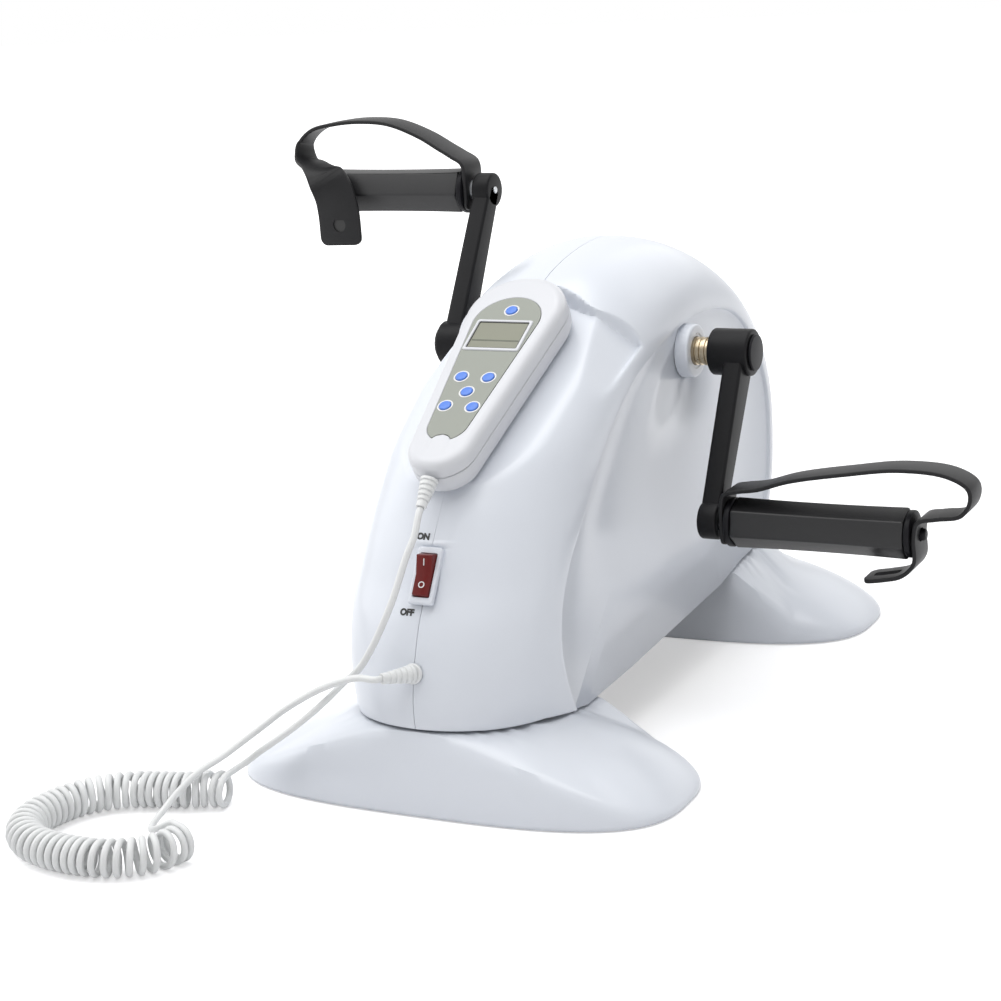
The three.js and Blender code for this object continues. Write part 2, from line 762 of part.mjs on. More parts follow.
sides.forEach(([name, side]) => {
  const crank = new THREE.Group();
  crank.position.set(0, crankY, crankZ);
  crank.rotation.x = degrees(-crankRestAngle) + (side > 0 ? 0 : Math.PI);
  group.add(crank);

  const armX = side > 0 ? armInner : -armOuter;
  const arm = prismX([
    [-armHubHalfWidth, 0],
    [-armEndHalfWidth, -crankRadius],
    [armEndHalfWidth, -crankRadius],
    [armHubHalfWidth, 0],
  ], armX, armThickness);
  const hub = rodX(hubRadius, side * hubInner, side * hubLength);
  const boss = rodX(armEndRadius, side * armInner, side * armThickness).translate(0, 0, -crankRadius);
  const hubBore = rodX(axleRadius + seat, side * (hubInner - overrun),
    side * (hubLength - hubEndWall + overrun));
  const pedalHole = rodX(spindleRadius + seat, side * (armInner - overrun),
    side * (armThickness + 2 * overrun)).translate(0, 0, -crankRadius);
  addMesh(`crank_${name}`, carve(join(arm, hub, boss), hubBore, pedalHole), blackPaint, crank);
  addMesh(`hub_cap_${name}`,
    rodX(hubCapRadius, side * (hubInner + hubLength + seat), side * hubCapThickness), blackPlastic, crank);

  const neck = rodX(spindleNeckRadius, side * (armOuter + seat), side * spindleNeckLength);
  const shaft = rodX(spindleRadius, side * armInner, side * (shaftEnd - armInner));
  addMesh(`pedal_spindle_${name}`, join(neck, shaft).translate(0, 0, -crankRadius), zinc, crank);

  const pedal = new THREE.Group();
  const swing = crank.rotation.x;
  pedal.position.set(0, crankY + crankRadius * Math.sin(swing), crankZ - crankRadius * Math.cos(swing));
  pedal.rotation.x = degrees(pedalTilt[name]);
  group.add(pedal);
  const shaftBore = rodX(spindleRadius + running, side * armInner, side * (rollerOuter - armInner + overrun));
  addMesh(`pedal_disc_${name}`,
    carve(rodX(discRadius, side * discInner, side * discThickness), shaftBore), blackPlastic, pedal);
  addMesh(`pedal_roller_${name}`, carve(rollerBulk(side), shaftBore), blackRubber, pedal);
  const cap = rodX(capRadius, side * capInner, side * capThickness);
  const peg = rodX(pegRadius, side * capInner, side * (capThickness + pegLength), 20);
  addMesh(`pedal_cap_${name}`, join(cap, peg), blackPlastic, pedal);

  const neckHole = rodX(spindleNeckRadius + strapNeckGap, side * armInner, side * (discInner - armInner));
  const band = ribbon(strapShares[name], side);
  const slot = name === 'right'
    ? join(
      rodX(pegRadius + strapNeckGap, side * capInner, side * (capThickness + pegLength + overrun)),
      block(rollerInner + slotShares[0] * rollerLength, -slotHalfWidth, -capRadius - rollerRadius - overrun,
        (slotShares[1] - slotShares[0]) * rollerLength, 2 * slotHalfWidth, rollerRadius + overrun))
    : rodX(strapHoleRadius, 0, rollerRadius + capRadius)
      .rotateZ(-Math.PI / 2)
      .translate(-strapX(strapShares.left.at(-1)[0]), 0, leftHoleShare * rollerRadius);
  addMesh(`pedal_strap_${name}`, carve(band, neckHole, slot).rotateX(-pedal.rotation.x), blackRubber, pedal);
});

// Drive: pulley on the axle, belt, and a gear motor on its bracket
const pulleyInner = uprightInner - pulleyGap - pulleyWidth;
function pulley(radius, bore, y, z) {
  const flat = radius - grooveDepth;
  const profile = [
    [bore, 0],
    [radius, 0],
    [radius, grooveWall],
    [flat, grooveWall + grooveDepth / 2],
    [flat, pulleyWidth - grooveWall - grooveDepth / 2],
    [radius, pulleyWidth - grooveWall],
    [radius, pulleyWidth],
    [bore, pulleyWidth],
  ];
  if (bore > 0) profile.push([bore, 0]);
  return turned(profile, pulleySides).rotateZ(-Math.PI / 2).translate(pulleyInner, y, z);
}

const [motorY, motorZ] = [crankY - motorBehindCrank, crankZ - motorBelowCrank];
const motorFace = pulleyInner - bracketThickness - 2 * seat;
addMesh('drive_pulley', pulley(drivePulleyRadius, axleRadius + seat, crankY, crankZ), zinc);
const shaftStart = motorFace - bracketThickness + seat;
const motorShaft = rodX(motorShaftRadius, shaftStart, pulleyInner - shaftStart + pulleyWidth / 2)
  .translate(0, motorY, motorZ);
addMesh('motor_pulley', join(pulley(motorPulleyRadius, 0, motorY, motorZ), motorShaft), zinc);

const shaftDistance = Math.hypot(crankY - motorY, crankZ - motorZ);
const beltLean = Math.atan2(crankZ - motorZ, crankY - motorY);
function beltOutline(grow) {
  return taperedOutline(drivePulleyRadius - grooveDepth, shaftDistance,
    motorPulleyRadius - grooveDepth, 0, running + grow, beltSteps);
}
const beltWidth = pulleyWidth - 2 * grooveWall - grooveDepth - 2 * running;
const beltLoop = carve(
  prismZ(beltOutline(beltThickness), 0, beltWidth),
  prismZ(beltOutline(0), -overrun, beltWidth + 2 * overrun));
addMesh('drive_belt', beltLoop
  .rotateZ(-Math.PI / 2)
  .rotateX(Math.PI / 2)
  .rotateZ(Math.PI / 2)
  .rotateX(beltLean)
  .translate(pulleyInner + (pulleyWidth - beltWidth) / 2, motorY, motorZ), blackRubber);

const motorBack = motorGap + gearboxLength - shellInside;
const motorLength = motorFace - bracketThickness - motorBack;
const motorBody = rodX(motorRadius, motorBack, motorLength);
const gearbox = rodX(gearboxRadius, motorBack - gearboxLength, gearboxLength + seat);
addMesh('gear_motor', join(motorBody, gearbox).translate(0, motorY, motorZ), zinc);
const bracketBottom = plateTop + seat;
const bracketPlate = block(motorFace - bracketThickness + seat, motorY - bracketWidth / 2, bracketBottom,
  bracketThickness, bracketWidth, motorZ + bracketRise - bracketBottom);
const bracketBase = block(motorFace - bracketThickness + seat - bracketFoot, motorY - bracketWidth / 2,
  bracketBottom, bracketFoot + bracketThickness, bracketWidth, bracketThickness);
const bracketHole = rodX(motorShaftRadius + 2 * running, motorFace - bracketThickness - overrun,
  bracketThickness + 2 * overrun).translate(0, motorY, motorZ);
addMesh('motor_bracket', carve(join(bracketPlate, bracketBase), bracketHole), blackPaint);

// Control board: a card on four feet, with a block of parts on it
const boardY = boardInset + (boardLength - plateLength) / 2;
const boardBottom = plateTop + seat + boardFootHeight;
const boardParts = [
  middleBlock(boardY, boardBottom, boardWidth, boardLength, boardThickness),
  middleBlock(boardY, boardBottom, boardWidth / 2, boardLength / 2, boardBlockHeight),
];
sides.forEach(([, side]) => ends.forEach(([, end]) => {
  const x = (side * (boardWidth - boardFootSize)) / 2 - boardFootSize / 2;
  const y = boardY + (end * (boardLength - boardFootSize)) / 2 - boardFootSize / 2;
  boardParts.push(block(
    x, y, plateTop + seat, boardFootSize, boardFootSize, boardFootHeight + boardThickness));
}));
addMesh('control_board', join(...boardParts), boardGreen);

// Mains switch
const cavityWidth = rockerWidth + 2 * running;
const cavityLength = 2 * (rockerRadius + running);
const cavityDepth = rockerRadius;
const bezel = middleBlock(0, seat, bezelWidth, bezelLength, bezelRise + bezelThickness);
const switchCase = middleBlock(
  0, -switchBodyDepth, switchBodyWidth, switchBodyLength, switchBodyDepth + seat);
const switchCavity = middleBlock(
  0, -cavityDepth, cavityWidth, cavityLength, cavityDepth + bezelRise + bezelThickness + overrun);
addMesh('switch_body', carve(join(bezel, switchCase.translate(0, 0, seat / 2)), switchCavity),
  whiteGloss, switchPlace);

// Rocker: two flat halves that meet over the pivot, with round ends about it
function rockerOutline() {
  const pivotZ = bezelThickness - rockerPivotDepth;
  const slope = Math.tan(degrees(rockerThrow));
  const rise = rockerFaceHeight;
  const a = 1 + slope * slope;
  const root = Math.sqrt((rise * slope) ** 2 - a * (rise ** 2 - rockerRadius ** 2));
  const proud = (root - rise * slope) / a;
  const highAngle = Math.atan2(rise + slope * proud, proud);
  const lowAngle = Math.PI - Math.asin(rise / rockerRadius);
  const skirtAngle = Math.asin(rockerSkirt / rockerRadius);
  const onCircle = (angle) => [
    rockerRadius * Math.cos(angle), pivotZ + rockerRadius * Math.sin(angle)];
  return [
    onCircle(-skirtAngle),
    onCircle(0),
    onCircle(highAngle / 2),
    onCircle(highAngle),
    [0, pivotZ + rise],
    onCircle(lowAngle),
    onCircle(Math.PI),
    onCircle(Math.PI + skirtAngle),
  ];
}
addMesh('rocker', prismX(rockerOutline(), -rockerWidth / 2, rockerWidth), redPlastic, switchPlace);

// Mains inlet with its three pins
const inletFace = seat + inletFlange;
const inletCase = join(
  middleBlock(0, seat, inletWidth, inletHeight, inletFlange),
  middleBlock(0, -inletDepth, inletBodyWidth, inletBodyHeight, inletDepth + seat + inletFlange / 2));
const inletSocket = middleBlock(
  0, inletFace - socketDepth, inletBodyWidth - 2 * socketWall, inletBodyHeight - 2 * socketWall,
  socketDepth + overrun);
const inletPins = [-1, 0, 1].map((place) => block(
  place * inletPinSpacing - inletPinThickness / 2,
  (place === 0 ? inletPinRise : -inletPinRise) - inletPinWidth / 2,
  inletFace - socketDepth - socketWall / 2, inletPinThickness, inletPinWidth, inletPinLength));
addMesh('mains_inlet', join(carve(inletCase, inletSocket), ...inletPins), blackPlastic, inletPlace);

// Strain reliefs: ribbed cones along +Z
function ribbedCone(length) {
  const pitch = length / (reliefRibs + 1);
  const profile = [[0, 0], [reliefBaseRadius, 0]];
  for (let i = 0; i < reliefRibs; i += 1) {
    const radius = THREE.MathUtils.lerp(reliefBaseRadius, reliefTipRadius, i / reliefRibs);
    const radii = [radius, radius - ribRise, radius - ribRise, radius];
    radii.forEach((rib, k) => profile.push([rib, pitch * (i + ribShares[k])]));
  }
  profile.push([reliefTipRadius, length], [0, length]);
  return turned(profile, reliefSides).rotateX(Math.PI / 2);
}

const glandTurn = new THREE.Quaternion().setFromUnitVectors(
  new THREE.Vector3(0, 0, 1), new THREE.Vector3(...glandDirectionShares).normalize());
const glandStud = rodZ(
  glandStudRadius, 0, 0, -glandStudLength, glandStudLength + seat + glandFlangeThickness);
const glandDisc = rodZ(glandFlangeRadius, 0, 0, seat, glandFlangeThickness);
const glandFace = new THREE.Vector3(0, 0, seat + glandFlangeThickness / 2)
  .applyMatrix4(glandPlace.matrixWorld);
const glandCone = ribbedCone(glandLength).applyQuaternion(glandTurn)
  .translate(glandFace.x, glandFace.y, glandFace.z);
addMesh('cord_gland', join(
  inWorld(glandStud, glandPlace), inWorld(glandDisc, glandPlace), glandCone), cordWhite);

// Handset
const reliefTurn = degrees(90 + handsetReliefDrop);
const reliefOverhang = reliefBaseRadius * Math.sin(degrees(handsetReliefDrop));
const reliefStart = new THREE.Vector3(
  0, handsetEndCentre - handsetEndRadius - seat - reliefOverhang, -handsetReliefDepth);
const atRelief = (geometry) => geometry
  .rotateX(reliefTurn)
  .translate(reliefStart.x, reliefStart.y, reliefStart.z);
const reliefHole = atRelief(rodZ(
  reliefStudRadius + seat, 0, 0, -reliefStudLength - overrun, reliefStudLength + 2 * overrun));
const frontRings = [
  ringAt(handsetOutline(0), -handsetSplit + seat / 2),
  ...frontEdgeShares.map(([inset, drop]) => ringAt(handsetOutline(-inset * frontEdge), drop * frontEdge)),
];
const backRings = [
  ringAt(handsetOutline(0), -handsetSplit - seat / 2),
  ...backEdgeShares.map(([inset, rise]) => ringAt(
    handsetOutline(-inset * backEdge), -handsetThickness + rise * backEdge)),
];
const faceOutline = (grow) => taperedOutline(
  faceTopRadius, faceTopCentre, faceEndRadius, faceEndCentre, grow);
const notch = (grow) => rodZ(
  notchRadius + grow, 0, faceEndCentre - faceEndRadius - notchDrop, -faceRecess - overrun / 2, overrun);
const buttonPlaces = Object.entries(buttonShares).map(
  ([name, place]) => [name, ...place.map((share) => share * handsetTopCentre)]);
const buttonHoles = buttonPlaces.map(([, x, y]) => rodZ(
  buttonRadius + running, x, y, -handsetSplit, handsetSplit + overrun, buttonSides));
const faceCavity = carve(prismZ(faceOutline(seat), -faceRecess, faceRecess + overrun), notch(-seat));
const frontInside = prismZ(
  handsetOutline(-handsetWall), -handsetSplit - overrun, handsetSplit + overrun - faceRecess - handsetWall);
addMesh('handset_front', carve(skin(frontRings), faceCavity, frontInside, reliefHole, ...buttonHoles),
  whiteGloss, handset);
const backInside = prismZ(
  handsetOutline(-handsetWall), -handsetThickness + backEdge / 2, handsetThickness);
addMesh('handset_back', carve(skin(backRings), backInside, reliefHole), whiteGloss, handset);

const displayOpening = middleBlock(displayCentre, -faceRecess, displayFrameWidth + 2 * seat,
  displayFrameHeight + 2 * seat, faceRecess + overrun);
addMesh('face_plate', carve(
  prismZ(faceOutline(0), -facePlateThickness, facePlateThickness), notch(0), displayOpening, ...buttonHoles),
facePaper, handset);
const windowWidth = displayFrameWidth - 2 * displayBorder;
const windowHeight = displayFrameHeight - 2 * displayBorder;
const frameHeight = displayFrameRise + facePlateThickness;
const displayWindow = middleBlock(
  displayCentre, -faceRecess, windowWidth, windowHeight, faceRecess + overrun);
addMesh('display_frame', carve(
  middleBlock(displayCentre, -facePlateThickness, displayFrameWidth, displayFrameHeight, frameHeight),
  displayWindow), whiteGloss, handset);
addMesh('display_glass', middleBlock(displayCentre, -facePlateThickness, windowWidth - 2 * seat,
  windowHeight - 2 * seat, frameHeight - displayGlassDrop), displayGreen, handset);

const stemBottom = -faceRecess - handsetWall - seat;
buttonPlaces.forEach(([name, x, y]) => {
  const stem = rodZ(buttonRadius, x, y, stemBottom - buttonFlangeThickness / 2,
    buttonRise - stemBottom + buttonFlangeThickness / 2, buttonSides);
  const flange = rodZ(
    buttonFlangeRadius, x, y, stemBottom - buttonFlangeThickness, buttonFlangeThickness, buttonSides);
  addMesh(name, join(stem, flange), bluePlastic, handset);
});
const handsetBoardTop = stemBottom - buttonFlangeThickness - buttonTravel - seat;
const handsetBoard = prismZ(
  handsetOutline(-handsetWall - seat), handsetBoardTop - handsetBoardThickness, handsetBoardThickness);
addMesh('handset_board', carve(handsetBoard, reliefHole), boardGreen, handset);

const reliefStud = rodZ(reliefStudRadius, 0, 0, -reliefStudLength, reliefStudLength + seat);
addMesh('handset_relief', atRelief(join(ribbedCone(handsetReliefLength), reliefStud)), cordWhite, handset);

// Cord: a plain lead from the gland, a long curly stretch on the floor, a plain lead to the handset
const curlOuterDiameter = 21;
const curlGap = 0.6; // wanted between curls on the inner side of a bend
const curlStepsPerTurn = 8;
const curlSides = 5;
const leadStepLength = 9.5;
const curlRadius = (curlOuterDiameter - cordDiameter) / 2;
const floorGap = 0.1;
const curlHeight = curlOuterDiameter / 2 + floorGap;
const curlRoute = [
  [-107.5, -236.5],
  [-117, -238],
  [-129, -243.5],
  [-145, -248],
  [-161, -253],
  [-174, -262],
  [-183, -274],
  [-188, -290],
  [-188.5, -306],
  [-182, -321],
  [-169, -331.5],
  [-153, -336.5],
  [-136, -338],
  [-119, -336.5],
  [-105, -330],
  [-95, -319],
  [-91, -305],
];
const curlLine = new THREE.CatmullRomCurve3(curlRoute.map(([x, y]) => new THREE.Vector3(x, y, curlHeight)));
const up = new THREE.Vector3(0, 0, 1);

// Turns made by each place along the line, so that the curls keep one gap on the inner side of every bend
const curlSamples = 600;
const curlPitch = cordDiameter + curlGap;
const turnsAt = [0];
for (let i = 1; i <= curlSamples; i += 1) {
  const bend = curlLine.getTangentAt((i - 1) / curlSamples).angleTo(curlLine.getTangentAt(i / curlSamples));
  const innerStep = curlLine.getLength() / curlSamples - curlRadius * bend;
  turnsAt.push(turnsAt[i - 1] + Math.max(innerStep, 0) / curlPitch);
}
const curlTurns = Math.floor(turnsAt[curlSamples]);

function curlPoint(turn) {
  const wanted = (turn / curlTurns) * turnsAt[curlSamples];
  const next = Math.min(Math.max(turnsAt.findIndex((turns) => turns >= wanted), 1), curlSamples);
  const part = (wanted - turnsAt[next - 1]) / (turnsAt[next] - turnsAt[next - 1]);
  const share = Math.min((next - 1 + part) / curlSamples, 1);
  const angle = turn * 2 * Math.PI;
  const across = up.clone().cross(curlLine.getTangentAt(share)).normalize();
  const out = up.clone().multiplyScalar(Math.cos(angle)).addScaledVector(across, Math.sin(angle));
  return { middle: curlLine.getPointAt(share).addScaledVector(out, curlRadius), out };
}

const curlCount = curlTurns * curlStepsPerTurn;
const curlPoints = Array.from({ length: curlCount + 1 }, (_, i) => curlPoint(i / curlStepsPerTurn));
const curlDirection = (i, j) => curlPoints[j].middle.clone().sub(curlPoints[i].middle).normalize();
const curlStartDirection = curlDirection(0, 1).setZ(0).normalize();
const curlEndDirection = curlDirection(curlCount - 1, curlCount).setZ(0).normalize();
const curlStart = curlPoints[0].middle.clone().addScaledVector(curlStartDirection, -cordDiameter);
const curlEnd = curlPoints[curlCount].middle.clone().addScaledVector(curlEndDirection, cordDiameter);
const curlPath = [
  { middle: curlStart, out: curlPoints[0].out },
  ...curlPoints,
  { middle: curlEnd, out: curlPoints[curlCount].out },
];
const curlSkin = skin(curlPath.map(({ middle, out }, i) => {
  const before = curlPath[Math.max(i - 1, 0)].middle;
  const after = curlPath[Math.min(i + 1, curlPath.length - 1)].middle;
  const along = after.clone().sub(before).normalize();
  const across = along.clone().cross(out).normalize();
  const lift = across.clone().cross(along);
  return Array.from({ length: curlSides }, (_, k) => {
    const angle = (2 * Math.PI * (k + 1 / 2)) / curlSides;
    return middle.clone()
      .addScaledVector(lift, (cordDiameter / 2) * Math.cos(angle))
      .addScaledVector(across, (cordDiameter / 2) * Math.sin(angle));
  });
}));
addMesh('cord_curl', curlSkin, cordWhite);

// Least gap of the curl to itself, between middle points more than half a turn apart along the cord
function leastGap(path, apart) {
  let least = Infinity;
  for (let i = 0; i < path.length; i += 1) {
    for (let j = i + apart; j < path.length; j += 1) {
      least = Math.min(least, path[i].distanceTo(path[j]));
    }
  }
  return least - cordDiameter;
}
const fineSteps = 32;
const finePoints = Array.from(
  { length: curlTurns * fineSteps + 1 }, (_, i) => curlPoint(i / fineSteps).middle);
console.log(`curls: ${curlTurns}, least gap of the curly cord to itself: ${
  leastGap(finePoints, fineSteps / 2).toFixed(2)} mm`);

// Routes of the two leads: their ends meet the strain reliefs and the curl
const glandDirection = new THREE.Vector3(0, 0, 1).applyQuaternion(glandTurn);
const glandTip = glandFace.clone().addScaledVector(glandDirection, glandLength + seat);
const bodyLeadRoute = [
  [-22, -228, 81.5],
  [-36, -226, 77],
  [-50, -222.5, 70.5],
  [-65, -218, 62],
  [-80, -216, 52.5],
  [-92, -218, 43.5],
  [-103, -224, 35],
  [-112, -234, 28],
  [-119, -246, 23.5],
  [-124.5, -258, 16.5],
  [-127.5, -270, 9.5],
  [-126.5, -282, 6.5],
  [-118.5, -294, 9],
  [-108, -301, 14.5],
];
const handsetTurn = new THREE.Vector3(0, 0, 1).applyAxisAngle(new THREE.Vector3(1, 0, 0), reliefTurn);
const reliefTip = reliefStart.clone().addScaledVector(handsetTurn, handsetReliefLength + seat)
  .applyMatrix4(handset.matrixWorld);
const reliefDirection = handsetTurn.clone().transformDirection(handset.matrixWorld);
const handsetLeadRoute = [
  [0, -195, 152],
  [-2.5, -201, 142],
  [-4.5, -206, 132],
  [-7, -211, 121],
  [-11.5, -215, 109],
  [-18, -217.5, 96],
  [-26.5, -218.5, 83.5],
  [-37, -218, 74.5],
  [-52, -219.5, 60.5],
  [-70, -221.5, 46],
  [-84, -221.5, 36],
  [-95, -220.5, 28.5],
  [-103.5, -222, 22],
];

function leadTube(start, startDirection, route, end, endDirection) {
  const points = [
    start,
    start.clone().addScaledVector(startDirection, cordDiameter),
    ...route.map((point) => new THREE.Vector3(...point)),
    end.clone().addScaledVector(endDirection, -cordDiameter),
    end,
  ];
  const path = new THREE.CatmullRomCurve3(points, false, 'centripetal');
  const section = new THREE.Shape();
  section.absarc(0, 0, cordDiameter / 2, 0, 2 * Math.PI);
  const leadSteps = Math.round(path.getLength() / leadStepLength);
  const tube = new THREE.ExtrudeGeometry(section, {
    steps: leadSteps, curveSegments: 4, extrudePath: path, bevelEnabled: false,
  });
  return { tube, length: path.getLength() };
}

const bodyLead = leadTube(glandTip, glandDirection, bodyLeadRoute,
  curlEnd.clone().addScaledVector(curlEndDirection, seat), curlEndDirection.clone().negate());
const handsetLead = leadTube(reliefTip, reliefDirection, handsetLeadRoute,
  curlStart.clone().addScaledVector(curlStartDirection, -seat), curlStartDirection);
addMesh('cord_lead_body', bodyLead.tube, cordWhite);
addMesh('cord_lead_handset', handsetLead.tube, cordWhite);

// The origin goes under the middle of all but the cord
const cordNames = ['cord_curl', 'cord_lead_body', 'cord_lead_handset'];
group.updateMatrixWorld(true);
const outline = new THREE.Box3();
group.traverse((piece) => {
  if (piece.isMesh && !cordNames.includes(piece.name)) outline.expandByObject(piece, true);
});
const middle = outline.getCenter(new THREE.Vector3());
group.position.set(-middle.x, -middle.y, 0);
const bike = new THREE.Group();
bike.add(group);

export default bike;
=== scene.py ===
import json
import math

import bmesh
import bpy
import numpy as np
from mathutils import Matrix, Vector
from mathutils.bvhtree import BVHTree


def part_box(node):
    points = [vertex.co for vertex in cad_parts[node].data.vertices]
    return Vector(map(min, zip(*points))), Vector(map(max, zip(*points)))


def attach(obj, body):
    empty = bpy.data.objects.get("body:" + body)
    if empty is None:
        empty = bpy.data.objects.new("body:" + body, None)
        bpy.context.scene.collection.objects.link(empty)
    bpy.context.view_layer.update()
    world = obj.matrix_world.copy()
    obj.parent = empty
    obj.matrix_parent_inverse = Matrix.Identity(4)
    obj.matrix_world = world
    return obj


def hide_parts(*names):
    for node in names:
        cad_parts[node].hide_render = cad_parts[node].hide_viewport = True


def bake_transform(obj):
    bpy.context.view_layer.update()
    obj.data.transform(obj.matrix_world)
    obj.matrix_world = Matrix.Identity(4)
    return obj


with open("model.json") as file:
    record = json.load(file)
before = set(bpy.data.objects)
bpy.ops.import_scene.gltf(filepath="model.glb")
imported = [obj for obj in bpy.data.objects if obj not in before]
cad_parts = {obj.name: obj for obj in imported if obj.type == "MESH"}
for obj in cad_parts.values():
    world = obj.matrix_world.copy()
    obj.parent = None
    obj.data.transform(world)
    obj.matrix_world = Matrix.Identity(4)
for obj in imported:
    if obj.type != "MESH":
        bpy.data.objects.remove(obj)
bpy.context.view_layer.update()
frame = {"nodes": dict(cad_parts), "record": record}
nodes = frame["nodes"]
record = frame["record"]
scene = bpy.context.scene

# Lengths are in millimetres. The object's own frame starts on the floor, under the seam and half way between
# the feet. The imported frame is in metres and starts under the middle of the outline.
MM = 0.001
ORIGIN = Vector((
    (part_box("shell_left")[0].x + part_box("shell_right")[1].x) / 2,
    (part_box("front_foot")[0].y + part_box("rear_foot")[1].y) / 2,
    0))
SEAT = 0.3


def place(points):
    """Points of the object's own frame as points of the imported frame."""
    return np.asarray(points, float) * MM + np.array(ORIGIN)


def place_one(point):
    return Vector(place([point])[0])


def turned_by(degrees, axis="X"):
    return Matrix.Rotation(math.radians(degrees), 4, axis)


def slope_frame(y, z, degrees):
    """A place on the seam whose Z leans back by an angle, such as the handset's face."""
    return Matrix.Translation((0, y, z)) @ turned_by(degrees)


def set_all(thing, **settings):
    for name, value in settings.items():
        setattr(thing, name, value)
    return thing


def link(name, data):
    made = bpy.data.objects.new(name, data)
    scene.collection.objects.link(made)
    return made


# Camera, found by fitting the cranks, handset, shell and feet to the picture
IMAGE_SIDE = 1001
FOCAL_PIXELS = 2296.22
PRINCIPAL_POINT = (514.05, 518.16)
CAMERA_AZIMUTH = 27.766
CAMERA_ELEVATION = 15.452
CAMERA_ROLL = -4.008
CAMERA_DISTANCE = 1322.74
CAMERA_TARGET = (0, -80, 130)
SENSOR_WIDTH = 36
CLIP_START, CLIP_END = 0.01, 100


def make_camera():
    data = set_all(
        bpy.data.cameras.new("camera"), sensor_width=SENSOR_WIDTH,
        lens=FOCAL_PIXELS * SENSOR_WIDTH / IMAGE_SIDE, shift_x=0.5 - PRINCIPAL_POINT[0] / IMAGE_SIDE,
        shift_y=PRINCIPAL_POINT[1] / IMAGE_SIDE - 0.5, clip_start=CLIP_START, clip_end=CLIP_END)
    scene.camera = link("camera", data)
    aim = turned_by(CAMERA_AZIMUTH, "Z") @ turned_by(90 - CAMERA_ELEVATION) @ turned_by(CAMERA_ROLL, "Z")
    scene.camera.matrix_world = (
        Matrix.Translation(place_one(CAMERA_TARGET)) @ aim @ Matrix.Translation((0, 0, CAMERA_DISTANCE * MM)))


make_camera()


# Materials
PATCH_SIZE = 40
PATCH_DETAIL, GRAIN_DETAIL = 3, 2


def add_node(tree, kind, inputs, **settings):
    """A shader node whose inputs are other nodes' outputs or values."""
    node = set_all(tree.nodes.new("ShaderNode" + kind), **settings)
    for key, source in inputs.items():
        if isinstance(source, bpy.types.NodeSocket):
            tree.links.new(source, node.inputs[key])
        else:
            node.inputs[key].default_value = source
    return node


def material(name, colour, roughness, grain, shade, rough_share, **sockets):
    """A material whose colour and roughness vary by shares. grain is its bumps' size, depth and strength."""
    made = bpy.data.materials.new(name)
    made.use_nodes = True
    tree = made.node_tree
    shader = tree.nodes["Principled BSDF"]
    for socket, value in sockets.items():
        shader.inputs[socket.replace("_", " ")].default_value = value
    place_on = add_node(tree, "TexCoord", {}).outputs["Object"]

    def noise(size, detail):
        inputs = {"Vector": place_on, "Scale": 1 / (size * MM), "Detail": detail}
        return add_node(tree, "TexNoise", inputs).outputs["Fac"]

    patches = noise(PATCH_SIZE, PATCH_DETAIL)
    tint = add_node(tree, "Mix", {"Factor": patches}, data_type="RGBA")
    for socket in tint.inputs:
        if socket.type == "RGBA":
            lighter = 1 + shade if socket.name == "B" else 1 - shade
            socket.default_value = (*[min(c * lighter, 1) for c in colour], 1)
    tree.links.new(next(s for s in tint.outputs if s.type == "RGBA"), shader.inputs["Base Color"])
    gloss = add_node(tree, "MapRange", {
        "Value": patches, "To Min": roughness * (1 - rough_share), "To Max": roughness * (1 + rough_share)})
    tree.links.new(gloss.outputs["Result"], shader.inputs["Roughness"])
    if grain:
        size, depth, strength = grain
        height = noise(size, GRAIN_DETAIL)
        bump = add_node(tree, "Bump", {"Distance": depth * MM, "Strength": strength, "Height": height})
        tree.links.new(bump.outputs["Normal"], shader.inputs["Normal"])
    return made


WHITE = material(
    "white_moulding", (0.68, 0.71, 0.765), 0.3, (3, 0.006, 0.12), 0.004, 0.06, Coat_Weight=0.15,
    Coat_Roughness=0.15)
HANDSET_WHITE = material("handset_moulding", (0.63, 0.64, 0.67), 0.31, (0.8, 0.02, 0.25), 0.005, 0.1)
FACE_GREY = material("face_film", (0.27, 0.285, 0.25), 0.42, (0.5, 0.01, 0.4), 0.03, 0.2)
BLACK_PAINT = material(
    "black_paint", (0.01, 0.01, 0.011), 0.4, (1.6, 0.05, 0.4), 0.2, 0.2, Specular_IOR_Level=0.12)
BLACK_PLASTIC = material(
    "black_moulding", (0.01, 0.01, 0.012), 0.42, (0.8, 0.03, 0.4), 0.2, 0.2, Specular_IOR_Level=0.12)
ROLLER_RUBBER = material(
    "roller_rubber", (0.014, 0.014, 0.015), 0.4, (1.1, 0.08, 0.5), 0.25, 0.2, Specular_IOR_Level=0.4)
STRAP_RUBBER = material(
    "strap_rubber", (0.014, 0.014, 0.015), 0.45, (0.7, 0.04, 0.5), 0.2, 0.2, Specular_IOR_Level=0.2)
AXLE_STEEL = material("turned_steel", (0.5, 0.42, 0.3), 0.28, (0.5, 0.03, 0.5), 0.25, 0.4, Metallic=1)
ZINC = material("zinc", (0.52, 0.54, 0.56), 0.36, (0.7, 0.02, 0.4), 0.15, 0.3, Metallic=1)
ROCKER_RED = material("rocker_red", (0.13, 0.008, 0.007), 0.3, None, 0.08, 0.08, Specular_IOR_Level=0.3)
BUTTON_BLUE = material("button_blue", (0.07, 0.2, 0.68), 0.35, (0.6, 0.01, 0.3), 0.05, 0.2)
CORD_WHITE = material("cord_sheath", (0.72, 0.73, 0.73), 0.42, (1.2, 0.03, 0.3), 0.03, 0.15)
DISPLAY = material(
    "display_window", (0.2, 0.205, 0.15), 0.25, None, 0.06, 0.2, Coat_Weight=0.2, Coat_Roughness=0.08)
DISPLAY_LINE = material("display_line", (0.09, 0.1, 0.07), 0.25, None, 0.05, 0.2)
BOARD = material("circuit_card", (0.02, 0.16, 0.06), 0.45, (1.5, 0.02, 0.3), 0.15, 0.2)
